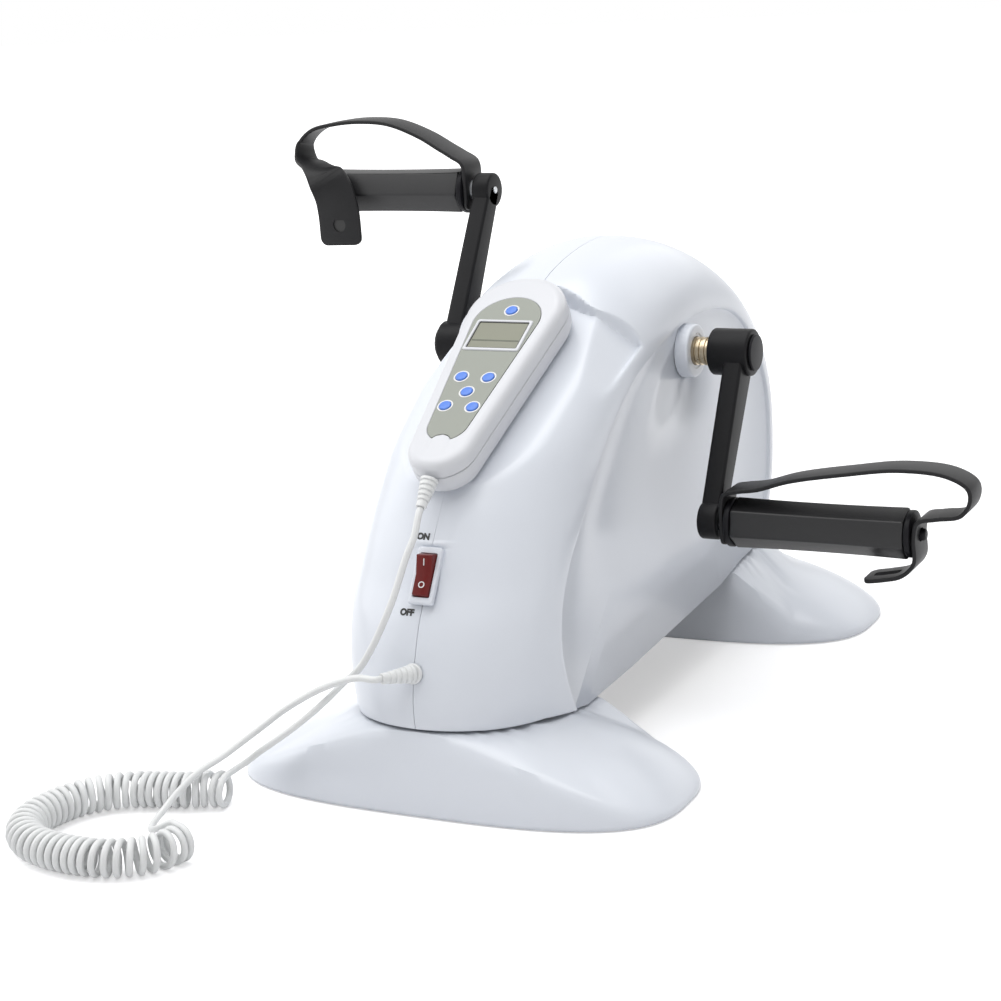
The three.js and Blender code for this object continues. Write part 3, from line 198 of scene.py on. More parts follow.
# Black for the printed words, and for the plates of painted shade in the strap's window and round the
# display's glass
PRINT_AND_SHADE_BLACK = material("print_and_painted_shade_black", (0.012, 0.012, 0.012), 0.5, None, 0.1, 0.1)
PRINT_WHITE = material("print_white", (0.75, 0.75, 0.75), 0.4, None, 0.02, 0.1)

FINISHES = {
    "white_gloss": WHITE,
    "rubber_black": ROLLER_RUBBER,
    "paint_black": BLACK_PAINT,
    "plastic_black": BLACK_PLASTIC,
    "axle_steel": AXLE_STEEL,
    "zinc": ZINC,
    "rocker_red": ROCKER_RED,
    "face_grey": FACE_GREY,
    "display": DISPLAY,
    "button_blue": BUTTON_BLUE,
    "cord_white": CORD_WHITE,
    "board_green": BOARD,
}
SLOT_OF = {row["node"]: row["material_slot"] for row in record["subparts"]}
BODY_OF = {node: body for body, held in record["behaviour"]["bodies"].items() for node in held}
for node, slot in SLOT_OF.items():
    nodes[node].data.materials.clear()
    nodes[node].data.materials.append(FINISHES[slot])


# Meshes
WELD = 0.002
FLAT = 180
SHARP = 35
# Sides of a full circle, for pieces of usual size, large pieces, small pieces, and holes and pegs
ROUND, LARGE_ROUND, SMALL_ROUND, HOLE_ROUND = 48, 64, 40, 32


def turn_points(points, matrix):
    turn = np.array(matrix)
    return np.asarray(points, float) @ turn[:3, :3].T + turn[:3, 3]


def moved(shape, matrix):
    return turn_points(shape[0], matrix), shape[1]


def edit(mesh, change):
    tool = bmesh.new()
    tool.from_mesh(mesh)
    change(tool)
    tool.to_mesh(mesh)
    tool.free()


def make_mesh(name, points, faces):
    """A welded mesh from points in millimetres, with its faces outwards."""
    def clean(tool):
        bmesh.ops.remove_doubles(tool, verts=tool.verts, dist=WELD * MM)
        bmesh.ops.recalc_face_normals(tool, faces=tool.faces)

    mesh = bpy.data.meshes.new(name)
    mesh.from_pydata(place(points).tolist(), [], [[int(i) for i in face] for face in faces])
    edit(mesh, clean)
    return mesh


def smooth(mesh, sharp=SHARP):
    """Smooth shading apart from the edges that turn by more than sharp, in degrees."""
    mesh.shade_smooth()
    if sharp < FLAT:
        mesh.set_sharp_from_angle(angle=math.radians(sharp))


def add_piece(
        name, shape, finish, stands_for=(), body=None, slot=None, sharp=SHARP, matrix=Matrix(), rides=True):
    """A new piece from points and faces. It rides on a body, or on that of the nodes that it stands for."""
    piece = link(name, make_mesh(name, *moved(shape, matrix)))
    piece.data.materials.append(finish)
    smooth(piece.data, sharp)
    if rides:
        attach(piece, body or BODY_OF[stands_for[0]])
    if stands_for:
        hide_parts(*stands_for)
    return piece


def stand_in(node, suffix, shape, finish, matrix=Matrix(), sharp=SHARP):
    """A new piece in place of one CAD piece, named after it."""
    return add_piece(f"{node}_{suffix}", shape, finish, [node], sharp=sharp, matrix=matrix)


def round_edges(piece, width, angle, segments=3):
    """Rounds the piece's edges for good, so that what follows meets the rounded mesh."""
    def bevel(tool):
        limit = math.radians(angle)
        edges = [e for e in tool.edges if len(e.link_faces) == 2 and e.calc_face_angle(0) > limit]
        bmesh.ops.bevel(
            tool, geom=edges, offset=width * MM, segments=segments, profile=0.5, affect="EDGES",
            clamp_overlap=True)

    edit(piece.data, bevel)
    smooth(piece.data, angle)


def thicken(piece, thickness):
    """Gives a skin its wall, on its inner side."""
    wall = piece.modifiers.new("wall", "SOLIDIFY")
    set_all(wall, thickness=thickness * MM, offset=-1, use_even_offset=False)


def rows_of(*columns):
    return np.stack(np.broadcast_arrays(*columns), -1).astype(float)


def loft(rings, closed=True, caps=(True, True)):
    """Points and faces through rings of points."""
    count = len(rings[0])
    points = np.concatenate([np.asarray(ring, float) for ring in rings])
    faces = []
    for r in range(len(rings) - 1):
        for i in range(count if closed else count - 1):
            j = (i + 1) % count
            faces.append((r * count + i, r * count + j, (r + 1) * count + j, (r + 1) * count + i))
    if caps[0]:
        faces.append(tuple(range(count))[::-1])
    if caps[1]:
        faces.append(tuple(range((len(rings) - 1) * count, len(rings) * count)))
    return points, faces


def joined(*shapes):
    points, faces, count = [], [], 0
    for shape_points, shape_faces in shapes:
        points.append(np.asarray(shape_points, float))
        faces += [tuple(i + count for i in face) for face in shape_faces]
        count += len(shape_points)
    return np.concatenate(points), faces


def lathe(profile, count=ROUND):
    """Rows of radius and height turned about Z. A row whose radius is 0 closes the end."""
    angles = np.arange(count) * 2 * math.pi / count
    rings = [rows_of(r * np.cos(angles), r * np.sin(angles), h) for r, h in profile]
    return loft(rings, caps=(profile[0][0] > 0, profile[-1][0] > 0))


def disc_x(profile, side, y=0, z=0, count=ROUND):
    """Rows of radius and distance turned about an axis that runs outwards along X."""
    points, faces = lathe(profile, count)
    return rows_of(side * points[:, 2], y + points[:, 1], z + points[:, 0]), faces


def quarter(steps=4):
    """Shares of a rounded edge's size, inwards and downwards, from its foot to its top."""
    return [(1 - math.cos(angle), 1 - math.sin(angle)) for angle in np.linspace(0, math.pi / 2, steps + 1)]


def catmull_rom(points, shares, chord=0.25):
    """Places on the centripetal Catmull-Rom curve through points, at shares of its number of stretches."""
    p = np.asarray(points, float)
    ends = [2 * p[0] - p[1], 2 * p[-1] - p[-2]]
    q = np.vstack([ends[0], p, ends[1]])
    at = np.clip(np.asarray(shares, float), 0, 1) * (len(p) - 1)
    row = np.minimum(at.astype(int), len(p) - 2)
    t = (at - row)[:, None]
    a, b, c, d = q[row], q[row + 1], q[row + 2], q[row + 3]
    gap = lambda u, v: np.maximum(((u - v) ** 2).sum(1)[:, None] ** chord, 1e-9)
    d0, d1, d2 = gap(a, b), gap(b, c), gap(c, d)
    start = ((b - a) / d0 - (c - a) / (d0 + d1) + (c - b) / d1) * d1
    end = ((c - b) / d1 - (d - b) / (d1 + d2) + (d - c) / d2) * d1
    return (
        b + start * t
        + (3 * (c - b) - 2 * start - end) * t ** 2
        + (2 * (b - c) + start + end) * t ** 3)


def reach_along(line):
    """Distance along a line up to each of its points."""
    return np.concatenate([[0], np.cumsum(np.linalg.norm(np.diff(line, axis=0), axis=1))])


def directions(path):
    steps = np.gradient(np.asarray(path, float), axis=0)
    return steps / np.linalg.norm(steps, axis=1)[:, None]


def arc(radius, centre, start, end, steps):
    angles = np.linspace(start, end, steps + 1)
    return rows_of(radius * np.cos(angles), radius * np.sin(angles)) + centre


def circle(radius, count):
    return arc(radius, (0, 0), 0, 2 * math.pi, count)[:-1]


def rounded_rectangle(width, height, radius, steps=6):
    corners = ((1, 1), (-1, 1), (-1, -1), (1, -1))
    return np.concatenate([
        arc(radius, (x * (width / 2 - radius), y * (height / 2 - radius)),
            k * math.pi / 2, (k + 1) * math.pi / 2, steps)
        for k, (x, y) in enumerate(corners)])


def rounded_polygon(radius, count, corner, steps=4):
    """Regular polygon with round corners, its first corner along the first axis."""
    half = math.pi / count
    centre = radius - corner / math.cos(half)
    return np.concatenate([
        arc(corner, (centre * math.cos(2 * k * half), centre * math.sin(2 * k * half)),
            (2 * k - 1) * half, (2 * k + 1) * half, steps)
        for k in range(count)])


def tapered(top_radius, top_centre, end_radius, end_centre, grow=0.0, steps=40):
    """Outline of two circles on one line and their outer tangents, grown by an amount."""
    lean = math.asin((top_radius - end_radius) / (top_centre - end_centre))
    return np.concatenate([
        arc(top_radius + grow, (0, top_centre), -lean, math.pi + lean, steps),
        arc(end_radius + grow, (0, end_centre), math.pi + lean, 2 * math.pi - lean, steps)])


def at_height(outline, z):
    return rows_of(*outline.T, z)


def prism(outline, bottom, top):
    return loft([at_height(outline, bottom), at_height(outline, top)])


def prism_x(outline, start, end):
    return loft([rows_of(x, *outline.T) for x in (start, end)])


def frame_shape(rows):
    """A closed frame through rounded rectangles: rows of size, growth, corner radius and height."""
    rings = [
        at_height(rounded_rectangle(width + grow, height + grow, radius), z)
        for (width, height), grow, radius, z in rows]
    return loft([*rings, rings[0]], caps=(False, False))


# Cord: from the gland to the curly stretch on the floor, and up to the handset, as in the CAD model
CORD_DIAMETER = 3.8
CORD_SIDES = 12
GLAND_PLACE = (-207.6, 79)
GLAND_SLOPE = 74
GLAND_FLANGE_RADIUS = 5.6
GLAND_FLANGE, GLAND_FLANGE_EDGE = 2, 0.7
GLAND_LENGTH = 19
GLAND_DIRECTION_SHARES = (-0.50, -0.86, 0.10)
HANDSET_PLACE = (-157.4, 196.9)
HANDSET_SLOPE = 29.2
HANDSET_TOP = (30, 108)
HANDSET_END = (19.5, -2.5)
HANDSET_THICKNESS = 24
RELIEF_BASE_RADIUS = 5
RELIEF_TIP_RADIUS = 3
RELIEF_LENGTH = 17
RELIEF_DEPTH = 9
RELIEF_DROP = 17
CURL_RADIUS = 8.6
CURL_FLOOR_GAP = 0.1
CURL_GAP = 0.6
CURL_SAMPLES, CURL_FINE_SAMPLES = 600, 8000
CURL_STEPS = 24
CURL_END_STEPS = 8
LEAD_SAMPLES = 90
BODY_LEAD = [
    (-22, -228, 81.5), (-36, -226, 77), (-50, -222.5, 70.5), (-65, -218, 62), (-80, -216, 52.5),
    (-92, -218, 43.5), (-103, -224, 35), (-112, -234, 28), (-119, -246, 23.5), (-124.5, -258, 16.5),
    (-127.5, -270, 9.5), (-126.5, -282, 6.5), (-118.5, -294, 9), (-108, -301, 14.5)]
CURL_ROUTE = [
    (-107.5, -236.5), (-117, -238), (-129, -243.5), (-145, -248), (-161, -253), (-174, -262), (-183, -274),
    (-188, -290), (-188.5, -306), (-182, -321), (-169, -331.5), (-153, -336.5), (-136, -338), (-119, -336.5),
    (-105, -330), (-95, -319), (-91, -305)]
HANDSET_LEAD = [
    (0, -195, 152), (-2.5, -201, 142), (-4.5, -206, 132), (-7, -211, 121), (-11.5, -215, 109),
    (-18, -217.5, 96), (-26.5, -218.5, 83.5), (-37, -218, 74.5), (-52, -219.5, 60.5), (-70, -221.5, 46),
    (-84, -221.5, 36), (-95, -220.5, 28.5), (-103.5, -222, 22)]

HANDSET = slope_frame(*HANDSET_PLACE, HANDSET_SLOPE)
GLAND = slope_frame(*GLAND_PLACE, GLAND_SLOPE)
UP = np.array([0, 0, 1.0])


def unit(vector):
    vector = np.asarray(vector, float)
    return vector / np.linalg.norm(vector)


def lead(start, start_direction, route, end, end_direction):
    """Points of a plain lead, straight out of both its ends."""
    knots = [start, start + start_direction * CORD_DIAMETER, *route, end - end_direction * CORD_DIAMETER, end]
    return catmull_rom(knots, np.linspace(0, 1, LEAD_SAMPLES))


def curl_points():
    """The curls' middle line. They keep one gap on the inner side of every bend."""
    height = CURL_RADIUS + CORD_DIAMETER / 2 + CURL_FLOOR_GAP
    fine = catmull_rom([(x, y, height) for x, y in CURL_ROUTE], np.linspace(0, 1, CURL_FINE_SAMPLES))
    reach = reach_along(fine)
    along_fine = directions(fine)

    def at(share, rows):
        return rows_of(*[np.interp(share * reach[-1], reach, column) for column in rows.T])

    marks = at(np.linspace(0, 1, CURL_SAMPLES + 1), along_fine)
    bends = np.arccos(np.clip((marks[1:] * marks[:-1]).sum(1) / (
        np.linalg.norm(marks[1:], axis=1) * np.linalg.norm(marks[:-1], axis=1)), -1, 1))
    inner_steps = np.maximum(reach[-1] / CURL_SAMPLES - CURL_RADIUS * bends, 0)
    turns_at = np.insert(np.cumsum(inner_steps), 0, 0) / (CORD_DIAMETER + CURL_GAP)
    turns = math.floor(turns_at[-1])
    turn = np.arange(turns * CURL_STEPS + 1) / CURL_STEPS
    share = np.interp(turn / turns * turns_at[-1], turns_at, np.linspace(0, 1, CURL_SAMPLES + 1))
    along = at(share, along_fine)
    across = np.cross(UP, along)
    across /= np.linalg.norm(across, axis=1)[:, None]
    angle = (turn * 2 * math.pi)[:, None]
    return at(share, fine) + CURL_RADIUS * (UP * np.cos(angle) + across * np.sin(angle))


def cord_line():
    gland_direction = unit(GLAND_DIRECTION_SHARES)
    gland_face = np.array(GLAND @ Vector((0, 0, SEAT + GLAND_FLANGE / 2)))
    gland_tip = gland_face + gland_direction * (GLAND_LENGTH + SEAT)
    overhang = RELIEF_BASE_RADIUS * math.sin(math.radians(RELIEF_DROP))
    relief_start = Vector((0, HANDSET_END[1] - HANDSET_END[0] - SEAT - overhang, -RELIEF_DEPTH))
    relief = HANDSET @ Matrix.Translation(relief_start) @ turned_by(90 + RELIEF_DROP)
    relief_tip = np.array(relief @ Vector((0, 0, RELIEF_LENGTH + SEAT)))
    relief_direction = unit(relief.to_3x3() @ Vector((0, 0, 1)))
    curls = curl_points()
    step = CURL_STEPS // CURL_END_STEPS
    start_direction = unit((curls[step] - curls[0]) * (1, 1, 0))
    end_direction = unit((curls[-1] - curls[-1 - step]) * (1, 1, 0))
    curl_start = curls[0] - start_direction * (CORD_DIAMETER + SEAT)
    curl_end = curls[-1] + end_direction * (CORD_DIAMETER + SEAT)
    body_lead = lead(gland_tip, gland_direction, BODY_LEAD, curl_end, -end_direction)
    handset_lead = lead(relief_tip, relief_direction, HANDSET_LEAD, curl_start, start_direction)
    line = np.concatenate([body_lead, curls[::-1], handset_lead[::-1]])
    return line, relief


def sweep(line, section):
    """Rings of a section, rows of across and out, carried along a line with as little twist as possible."""
    along = directions(line)
    out = unit(np.cross(along[0], UP))
    rings = []
    for point, direction in zip(line, along):
        out = unit(out - direction * np.dot(out, direction))
        across = np.cross(direction, out)
        rings.append([point + across * u + out * v for u, v in section])
    return rings


cord_path, RELIEF = cord_line()
cord = add_piece(
    "cord", loft(sweep(cord_path, circle(CORD_DIAMETER / 2, CORD_SIDES))), CORD_WHITE,
    ["cord_curl", "cord_lead_body", "cord_lead_handset"], sharp=FLAT, rides=False)
print(f"cord length {reach_along(cord_path)[-1] * MM:.3f} m")
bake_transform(cord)


# Body shell. Each row of its outline: seam Y and Z, panel Y and Z, as shares of the shell's reach and top
SHELL_REACH = 207
SHELL_TOP = 270
SHELL_HALF_WIDTH = 62
PANEL_X = 59.5
SHELL_WALL = 2.2
SHELL_FOOT_GAP = 0.5
HOOD_POWER = 2.2
HOOD_RINGS = 44
OUTLINE_SAMPLES = 1500
OUTLINE_SHARES = [
    (-0.995, 0.111, -0.638, 0.111), (-1.014, 0.170, -0.676, 0.156), (-1.019, 0.222, -0.710, 0.215),
    (-1.000, 0.296, -0.734, 0.296), (-0.961, 0.374, -0.720, 0.374), (-0.908, 0.444, -0.667, 0.448),
    (-0.857, 0.520, -0.614, 0.493), (-0.787, 0.606, -0.541, 0.548), (-0.684, 0.696, -0.444, 0.622),
    (-0.531, 0.770, -0.309, 0.704), (-0.338, 0.863, -0.164, 0.763), (-0.193, 0.922, -0.058, 0.789),
    (-0.082, 0.961, 0.048, 0.809), (0.039, 0.985, 0.155, 0.822), (0.198, 1.000, 0.261, 0.831),
    (0.338, 0.998, 0.362, 0.828), (0.469, 0.972, 0.464, 0.817), (0.609, 0.920, 0.560, 0.796),
    (0.749, 0.848, 0.647, 0.757), (0.870, 0.756, 0.729, 0.696), (0.952, 0.656, 0.792, 0.624),
    (0.990, 0.559, 0.826, 0.548), (0.995, 0.459, 0.831, 0.459), (0.976, 0.352, 0.812, 0.359),
    (0.928, 0.256, 0.763, 0.270), (0.845, 0.178, 0.691, 0.185), (0.758, 0.111, 0.614, 0.111)]
RIM_SHARES = [
    (-1.16, 0.185), (-0.82, 0.170), (-0.58, 0.135), (-0.29, 0.140), (0.39, 0.167), (0.58, 0.190),
    (1.16, 0.220)]
# Places along the outline, as shares of its rows, and how many columns lie up to each
COLUMN_SHARES = [(0, 0), (0.17, 70), (0.49, 300), (1, 430)]
# Rings at the seam's edge and round the side panel: X, and how far below the surface each lies
SEAM_RINGS = [(0.05, 0.22), (0.2, 0.05), (0.6, 0)]
STEP_RINGS = [(61.9, 0.28), (61.5, 0.55), (60.5, 0.85), (59.8, 1.0), (PANEL_X, 1.4)]

FOOT_HALF_LENGTH, FOOT_HALF_WIDTH, FOOT_HEIGHT = 134, 61, 44
FOOT_RIM = 3
FOOT_PLACE = 157
FOOT_OUTLINE_POWER = 3
FOOT_RIDGE_POWER = 2.2
FOOT_RIDGE_ROOT = 0.75
FLOOR_CLEARANCE = 1


def foot_height(x, y):
    """Height of a foot's top at a place measured from the foot's middle, and 0 outside it."""
    along = np.minimum(np.abs(x) / FOOT_HALF_LENGTH, 1)
    half = FOOT_HALF_WIDTH * (1 - along ** FOOT_OUTLINE_POWER) ** (1 / FOOT_OUTLINE_POWER)
    across = np.minimum(np.abs(y) / np.maximum(half, 0.001), 1)
    ridge = (1 - along ** FOOT_RIDGE_POWER) ** FOOT_RIDGE_ROOT
    section = (1 - across ** FOOT_RIDGE_POWER) ** (1 / FOOT_RIDGE_POWER)
    return np.where(across < 1, FOOT_RIM + (FOOT_HEIGHT - FOOT_RIM) * ridge * section, 0)


def rim_line(y):
    rim = np.array(RIM_SHARES) * (SHELL_REACH, SHELL_TOP)
    return np.interp(y, rim[:, 0], rim[:, 1])


def rim_height(x, y):
    """Lowest height of the shell: its rim line, or just clear of the feet."""
    feet = np.maximum(foot_height(x, y + FOOT_PLACE), foot_height(x, y - FOOT_PLACE))
    return np.maximum(rim_line(y), feet + SHELL_FOOT_GAP)


# Pocket for the handset in the top of the shell, as half width and place in shares of the handset's length
POCKET_SHARES = [
    (0, -0.26), (0.21, -0.25), (0.38, -0.11), (0.53, 0.25), (0.53, 0.81), (0.26, 0.81), (0.2, 0.815),
    (0.15, 0.84), (0.075, 0.872), (0, 0.881)]
POCKET_BEND_SHARE = 0.325
POCKET_BEND_TURN = 10.3
POCKET_FALL = 50
POCKET_WALL_SLOPE = 2.6
POCKET_SOFTNESS = 1.6
POCKET_DIP_START = -10
POCKET_DIP_SLOPE = 0.45
POCKET_FADE = 5
HANDSET_LENGTH = HANDSET_TOP[1] + HANDSET_TOP[0] - HANDSET_END[1] + HANDSET_END[0]
SWITCH = slope_frame(-184.6, 126.4, 57)
INLET = slope_frame(209.5, 90, -113)
BEZEL_SIZE = (15, 32)
INLET_SIZE = (30, 24)
SEAT_SLOPE = 1.5
SEAT_SOFTNESS = 0.5


def outside(points, outline):
    """Distance of flat points from a closed outline, and 0 inside it."""
    corners = np.asarray(outline, float)
    least = np.full(len(points), np.inf)
    inside = np.zeros(len(points), bool)
    for a, b in zip(corners, np.roll(corners, -1, axis=0)):
        side = b - a
        share = np.clip(((points - a) @ side) / (side @ side), 0, 1)
        least = np.minimum(least, np.linalg.norm(points - (a + share[:, None] * side), axis=1))
        crosses = (a[1] > points[:, 1]) != (b[1] > points[:, 1])
        if abs(side[1]) > 0:
            reach = a[0] + (points[:, 1] - a[1]) * side[0] / side[1]
            inside ^= crosses & (points[:, 0] < reach)
    return np.where(inside, 0, least)


def lower(points, matrix, floor, softness):
    """Lowers points along a frame's own Z to a floor, with a soft edge."""
    local = turn_points(points, matrix.inverted())
    level = floor(local)
    gap = local[:, 2] - level
    blend = np.maximum(softness - np.abs(gap), 0) / softness
    local[:, 2] = np.minimum(local[:, 2], level) - blend ** 2 * softness / 4
    return turn_points(local, matrix)


def pocket_floor(local):
    half = [(x * HANDSET_LENGTH, y * HANDSET_LENGTH) for x, y in POCKET_SHARES]
    outline = half + [(-x, y) for x, y in half[-2:0:-1]]
    bend = POCKET_BEND_SHARE * HANDSET_LENGTH
    turn = math.radians(POCKET_BEND_TURN)
    beyond = (np.abs(local[:, 0]) - bend) * math.cos(turn) + (local[:, 1] - bend) * math.sin(turn)
    fall = math.tan(math.radians(POCKET_FALL)) * (np.hypot(beyond, POCKET_SOFTNESS) + beyond) / 2
    dip = POCKET_DIP_SLOPE * np.maximum(POCKET_DIP_START - local[:, 1], 0)
    return (
        -HANDSET_THICKNESS - SEAT - fall - dip
        + POCKET_WALL_SLOPE * outside(local[:, :2], outline) + POCKET_SOFTNESS / 2)


def seat_floor(size):
    def floor(local):
        past = np.maximum(np.abs(local[:, :2]) - np.array(size) / 2 - SEAT, 0)
        return SEAT_SLOPE * np.hypot(past[:, 0], past[:, 1])
    return floor


def shell_line(x, share, inset, columns):
    """One ring of the half shell from the front rim over the top to the back rim."""
    rows = np.array(OUTLINE_SHARES) * (SHELL_REACH, SHELL_TOP, SHELL_REACH, SHELL_TOP)
    seam, panel = (np.insert(rows[:, k:k + 2], 0, 0, axis=1) for k in (0, 2))

    def line(shares):
        points = catmull_rom(seam, shares) * share + catmull_rom(panel, shares) * (1 - share)
        along = directions(points)
        points[:, 1] += inset * along[:, 2]
        points[:, 2] -= inset * along[:, 1]
        points[:, 0] = x
        return points

    fine_shares = np.linspace(0, 1, OUTLINE_SAMPLES)
    fine = line(fine_shares)
    above = np.flatnonzero(fine[:, 2] > rim_height(fine[:, 0], fine[:, 1]))
    first, last = fine_shares[above[0]], fine_shares[above[-1]]
    return line(first + (last - first) * columns)


def hood_rings():
    """X, share of the way from the panel's outline to the seam's, and depth, for each ring."""
    def share_at(x):
        return (1 - (x / SHELL_HALF_WIDTH) ** HOOD_POWER) ** (1 / HOOD_POWER)

    rows = [(x, share_at(x), drop) for x, drop in SEAM_RINGS]
    for k in range(1, HOOD_RINGS + 1):
        angle = k / HOOD_RINGS * math.pi / 2
        x = SHELL_HALF_WIDTH * math.sin(angle) ** (2 / HOOD_POWER)
        rows.append((x, math.cos(angle) ** (2 / HOOD_POWER) if k < HOOD_RINGS else 0, 0))
    return rows + [(x, 0, drop) for x, drop in STEP_RINGS]


AXLE_Y, AXLE_Z = 41, 205
COLLAR_HOLE = 13
PANEL_RING_SHARES = [0.35, 0.7, 1]
# Openings under the switch, the inlet and the gland: half width and half height, and how deep they reach
SWITCH_HOLE = (5.6, 13.2)
INLET_HOLE = (12.4, 10)
GLAND_HOLE = (3.4, 3.2)
HOLE_REACH = 8


def shell_half(side):
    shares, counts = zip(*COLUMN_SHARES)
    columns = np.interp(np.arange(counts[-1] + 1), counts, shares)
    rings = [shell_line(x, share, drop, columns) for x, share, drop in hood_rings()]
    points = np.concatenate(rings)
    count = len(columns)
    edge_share = np.clip((SHELL_HALF_WIDTH - points[:, :1]) / POCKET_FADE, 0, 1)
    edge_share[-len(STEP_RINGS) * count:] = 0
    pocket = lower(points, HANDSET, pocket_floor, POCKET_SOFTNESS)
    points += (pocket - points) * edge_share ** 2 * (3 - 2 * edge_share)
    near = points[:, 0] < SHELL_HALF_WIDTH / 2
    for matrix, size in ((SWITCH, BEZEL_SIZE), (INLET, INLET_SIZE)):
        points[near] = lower(points[near], matrix, seat_floor(size), SEAT_SOFTNESS)
    _, faces = loft(points.reshape(len(rings), count, 3), closed=False, caps=(False, False))

    # Side panel: rings between its outline and the hole for the axle's collar
    edge = points[-count:]
    low = np.linspace(edge[-1], edge[0], count // 2 + 1)[1:-1]
    low[:, 2] = rim_height(low[:, 0], low[:, 1])
    border = np.concatenate([edge, low])
    middle = np.array([PANEL_X, AXLE_Y, AXLE_Z])
    spokes = border - middle
    hole = middle + spokes / np.linalg.norm(spokes, axis=1)[:, None] * COLLAR_HOLE
    panel_rings = [border, *[border + (hole - border) * share for share in PANEL_RING_SHARES]]
    points, faces = joined((points, faces), loft(panel_rings, caps=(False, False)))

    # Openings under the switch, the inlet and the gland
    def hidden(matrix, half_size):
        local = turn_points(points, matrix.inverted())
        middles = np.array([local[list(face)].mean(0) for face in faces])
        return (np.abs(middles) < (*half_size, HOLE_REACH)).all(1)

    cut = hidden(SWITCH, SWITCH_HOLE) | hidden(INLET, INLET_HOLE) | hidden(GLAND, GLAND_HOLE)
    faces = [face for face, gone in zip(faces, cut) if not gone]
    return points * (side, 1, 1), faces


SIDES = {"right": 1, "left": -1}
for side_name, side in SIDES.items():
    half = stand_in(f"shell_{side_name}", "moulding", shell_half(side), WHITE, sharp=38)
    thicken(half, SHELL_WALL)


# Feet
FOOT_SPOKES = 160
FOOT_RING_SHARES = [
    0.02, 0.12, 0.24, 0.36, 0.47, 0.57, 0.66, 0.74, 0.81, 0.87, 0.915, 0.95, 0.975, 0.99, 0.997, 1]
# The feet rise to the shell's rim and fall away from it, the rear one more steeply
SADDLE_GAP = 0.9
SADDLE_SLOPES = {-1: 0.55, 1: 0.9}
SADDLE_EDGE = 9
SADDLE_SOFTNESS = 0.8


def shell_plan():
    """Outline of the shell's rim, seen from above."""
    ends = [shell_line(x, share, drop, np.array([0.0, 1.0])) for x, share, drop in hood_rings()]
    half = [ring[0, :2] for ring in ends] + [ring[-1, :2] for ring in ends[::-1]]
    return np.array(half + [(-x, y) for x, y in half[::-1]])


plan = shell_plan()


def saddle_height(x, y, from_edge, slope):
    """Height of a foot under and round the shell, at places and their distances from the foot's edge."""
    top = rim_line(y) - SADDLE_GAP - slope * outside(rows_of(x, y), plan)
    rounded = np.sqrt(1 - (1 - np.minimum(from_edge / SADDLE_EDGE, 1)) ** 2)
    return FOOT_RIM + np.maximum(top - FOOT_RIM, 0) * rounded


def foot_shape(end):
    spots = circle(1, FOOT_SPOKES)
    spread = np.sign(spots) * np.abs(spots) ** (2 / FOOT_OUTLINE_POWER)
    x, y = (spread * (FOOT_HALF_LENGTH, FOOT_HALF_WIDTH)).T
    rings = []
    for share in FOOT_RING_SHARES:
        dome = np.maximum(foot_height(share * x, share * y), FOOT_RIM)
        from_edge = (1 - share) * np.hypot(x, y)
        saddle = saddle_height(share * x, share * y + end * FOOT_PLACE, from_edge, SADDLE_SLOPES[end])
        height = (dome + saddle + np.hypot(dome - saddle, SADDLE_SOFTNESS) - SADDLE_SOFTNESS) / 2
        rings.append(rows_of(share * x, share * y, height))
    rings.append(rows_of(x, y, FLOOR_CLEARANCE))
    return loft(rings, caps=(True, False))


for end_name, end in (("front", -1), ("rear", 1)):
    foot = stand_in(
        f"{end_name}_foot", "moulding", foot_shape(end), WHITE, Matrix.Translation((0, end * FOOT_PLACE, 0)))
    thicken(foot, SHELL_WALL)


def finished_mesh(piece):
    bpy.context.view_layer.update()
    return bpy.data.meshes.new_from_object(piece.evaluated_get(bpy.context.evaluated_depsgraph_get()))


def carve(piece, matrix, cutters):
    """Cuts closed shapes out of a piece for good."""
    for shape in cutters:
        cutter = link("cutter", make_mesh("cutter", *moved(shape, matrix)))
        cut = piece.modifiers.new("cut", "BOOLEAN")
        set_all(cut, operation="DIFFERENCE", solver="EXACT", object=cutter)
        carved = finished_mesh(piece)
        piece.modifiers.remove(cut)
        piece.data = carved
        bpy.data.objects.remove(cutter)
    smooth(piece.data)


# Axle and its collars
COLLAR_RADIUS, COLLAR_BORE, COLLAR_INNER, COLLAR_OUTER = 16, 8.8, 59.8, 67.8
COLLAR_EDGE = 1.6
COLLAR_GROOVE_DEPTH, COLLAR_GROOVE_WIDTH, COLLAR_GROOVE_EDGE = 0.5, 1.4, 0.6
AXLE_RADIUS = 8.5
AXLE_HALF_LENGTH = 98.7
AXLE_EDGE = 0.8
GROOVE_DEPTH, GROOVE_EDGE = 0.7, 0.3
# Distances along the axle where its turned grooves begin and end, on each side
AXLE_GROOVES = [(69.2, 70.2), (72.2, 73.6), (75.6, 76.6)]


def edge_arc(radius, at, edge, outwards):
    """Profile rows of a rounded edge at an end of a turned piece."""
    return [(radius - edge * inset, at - outwards * edge * drop) for inset, drop in quarter()]


def turned(radius, start, end, edge, bore=0.0):
    """Profile of a turned piece with both its outer edges rounded. It closes on its axis or on its bore."""
    rows = [
        (bore, start), *edge_arc(radius, start, edge, -1)[::-1], *edge_arc(radius, end, edge, 1), (bore, end)]
    return rows + [(bore, start)] if bore > 0 else rows


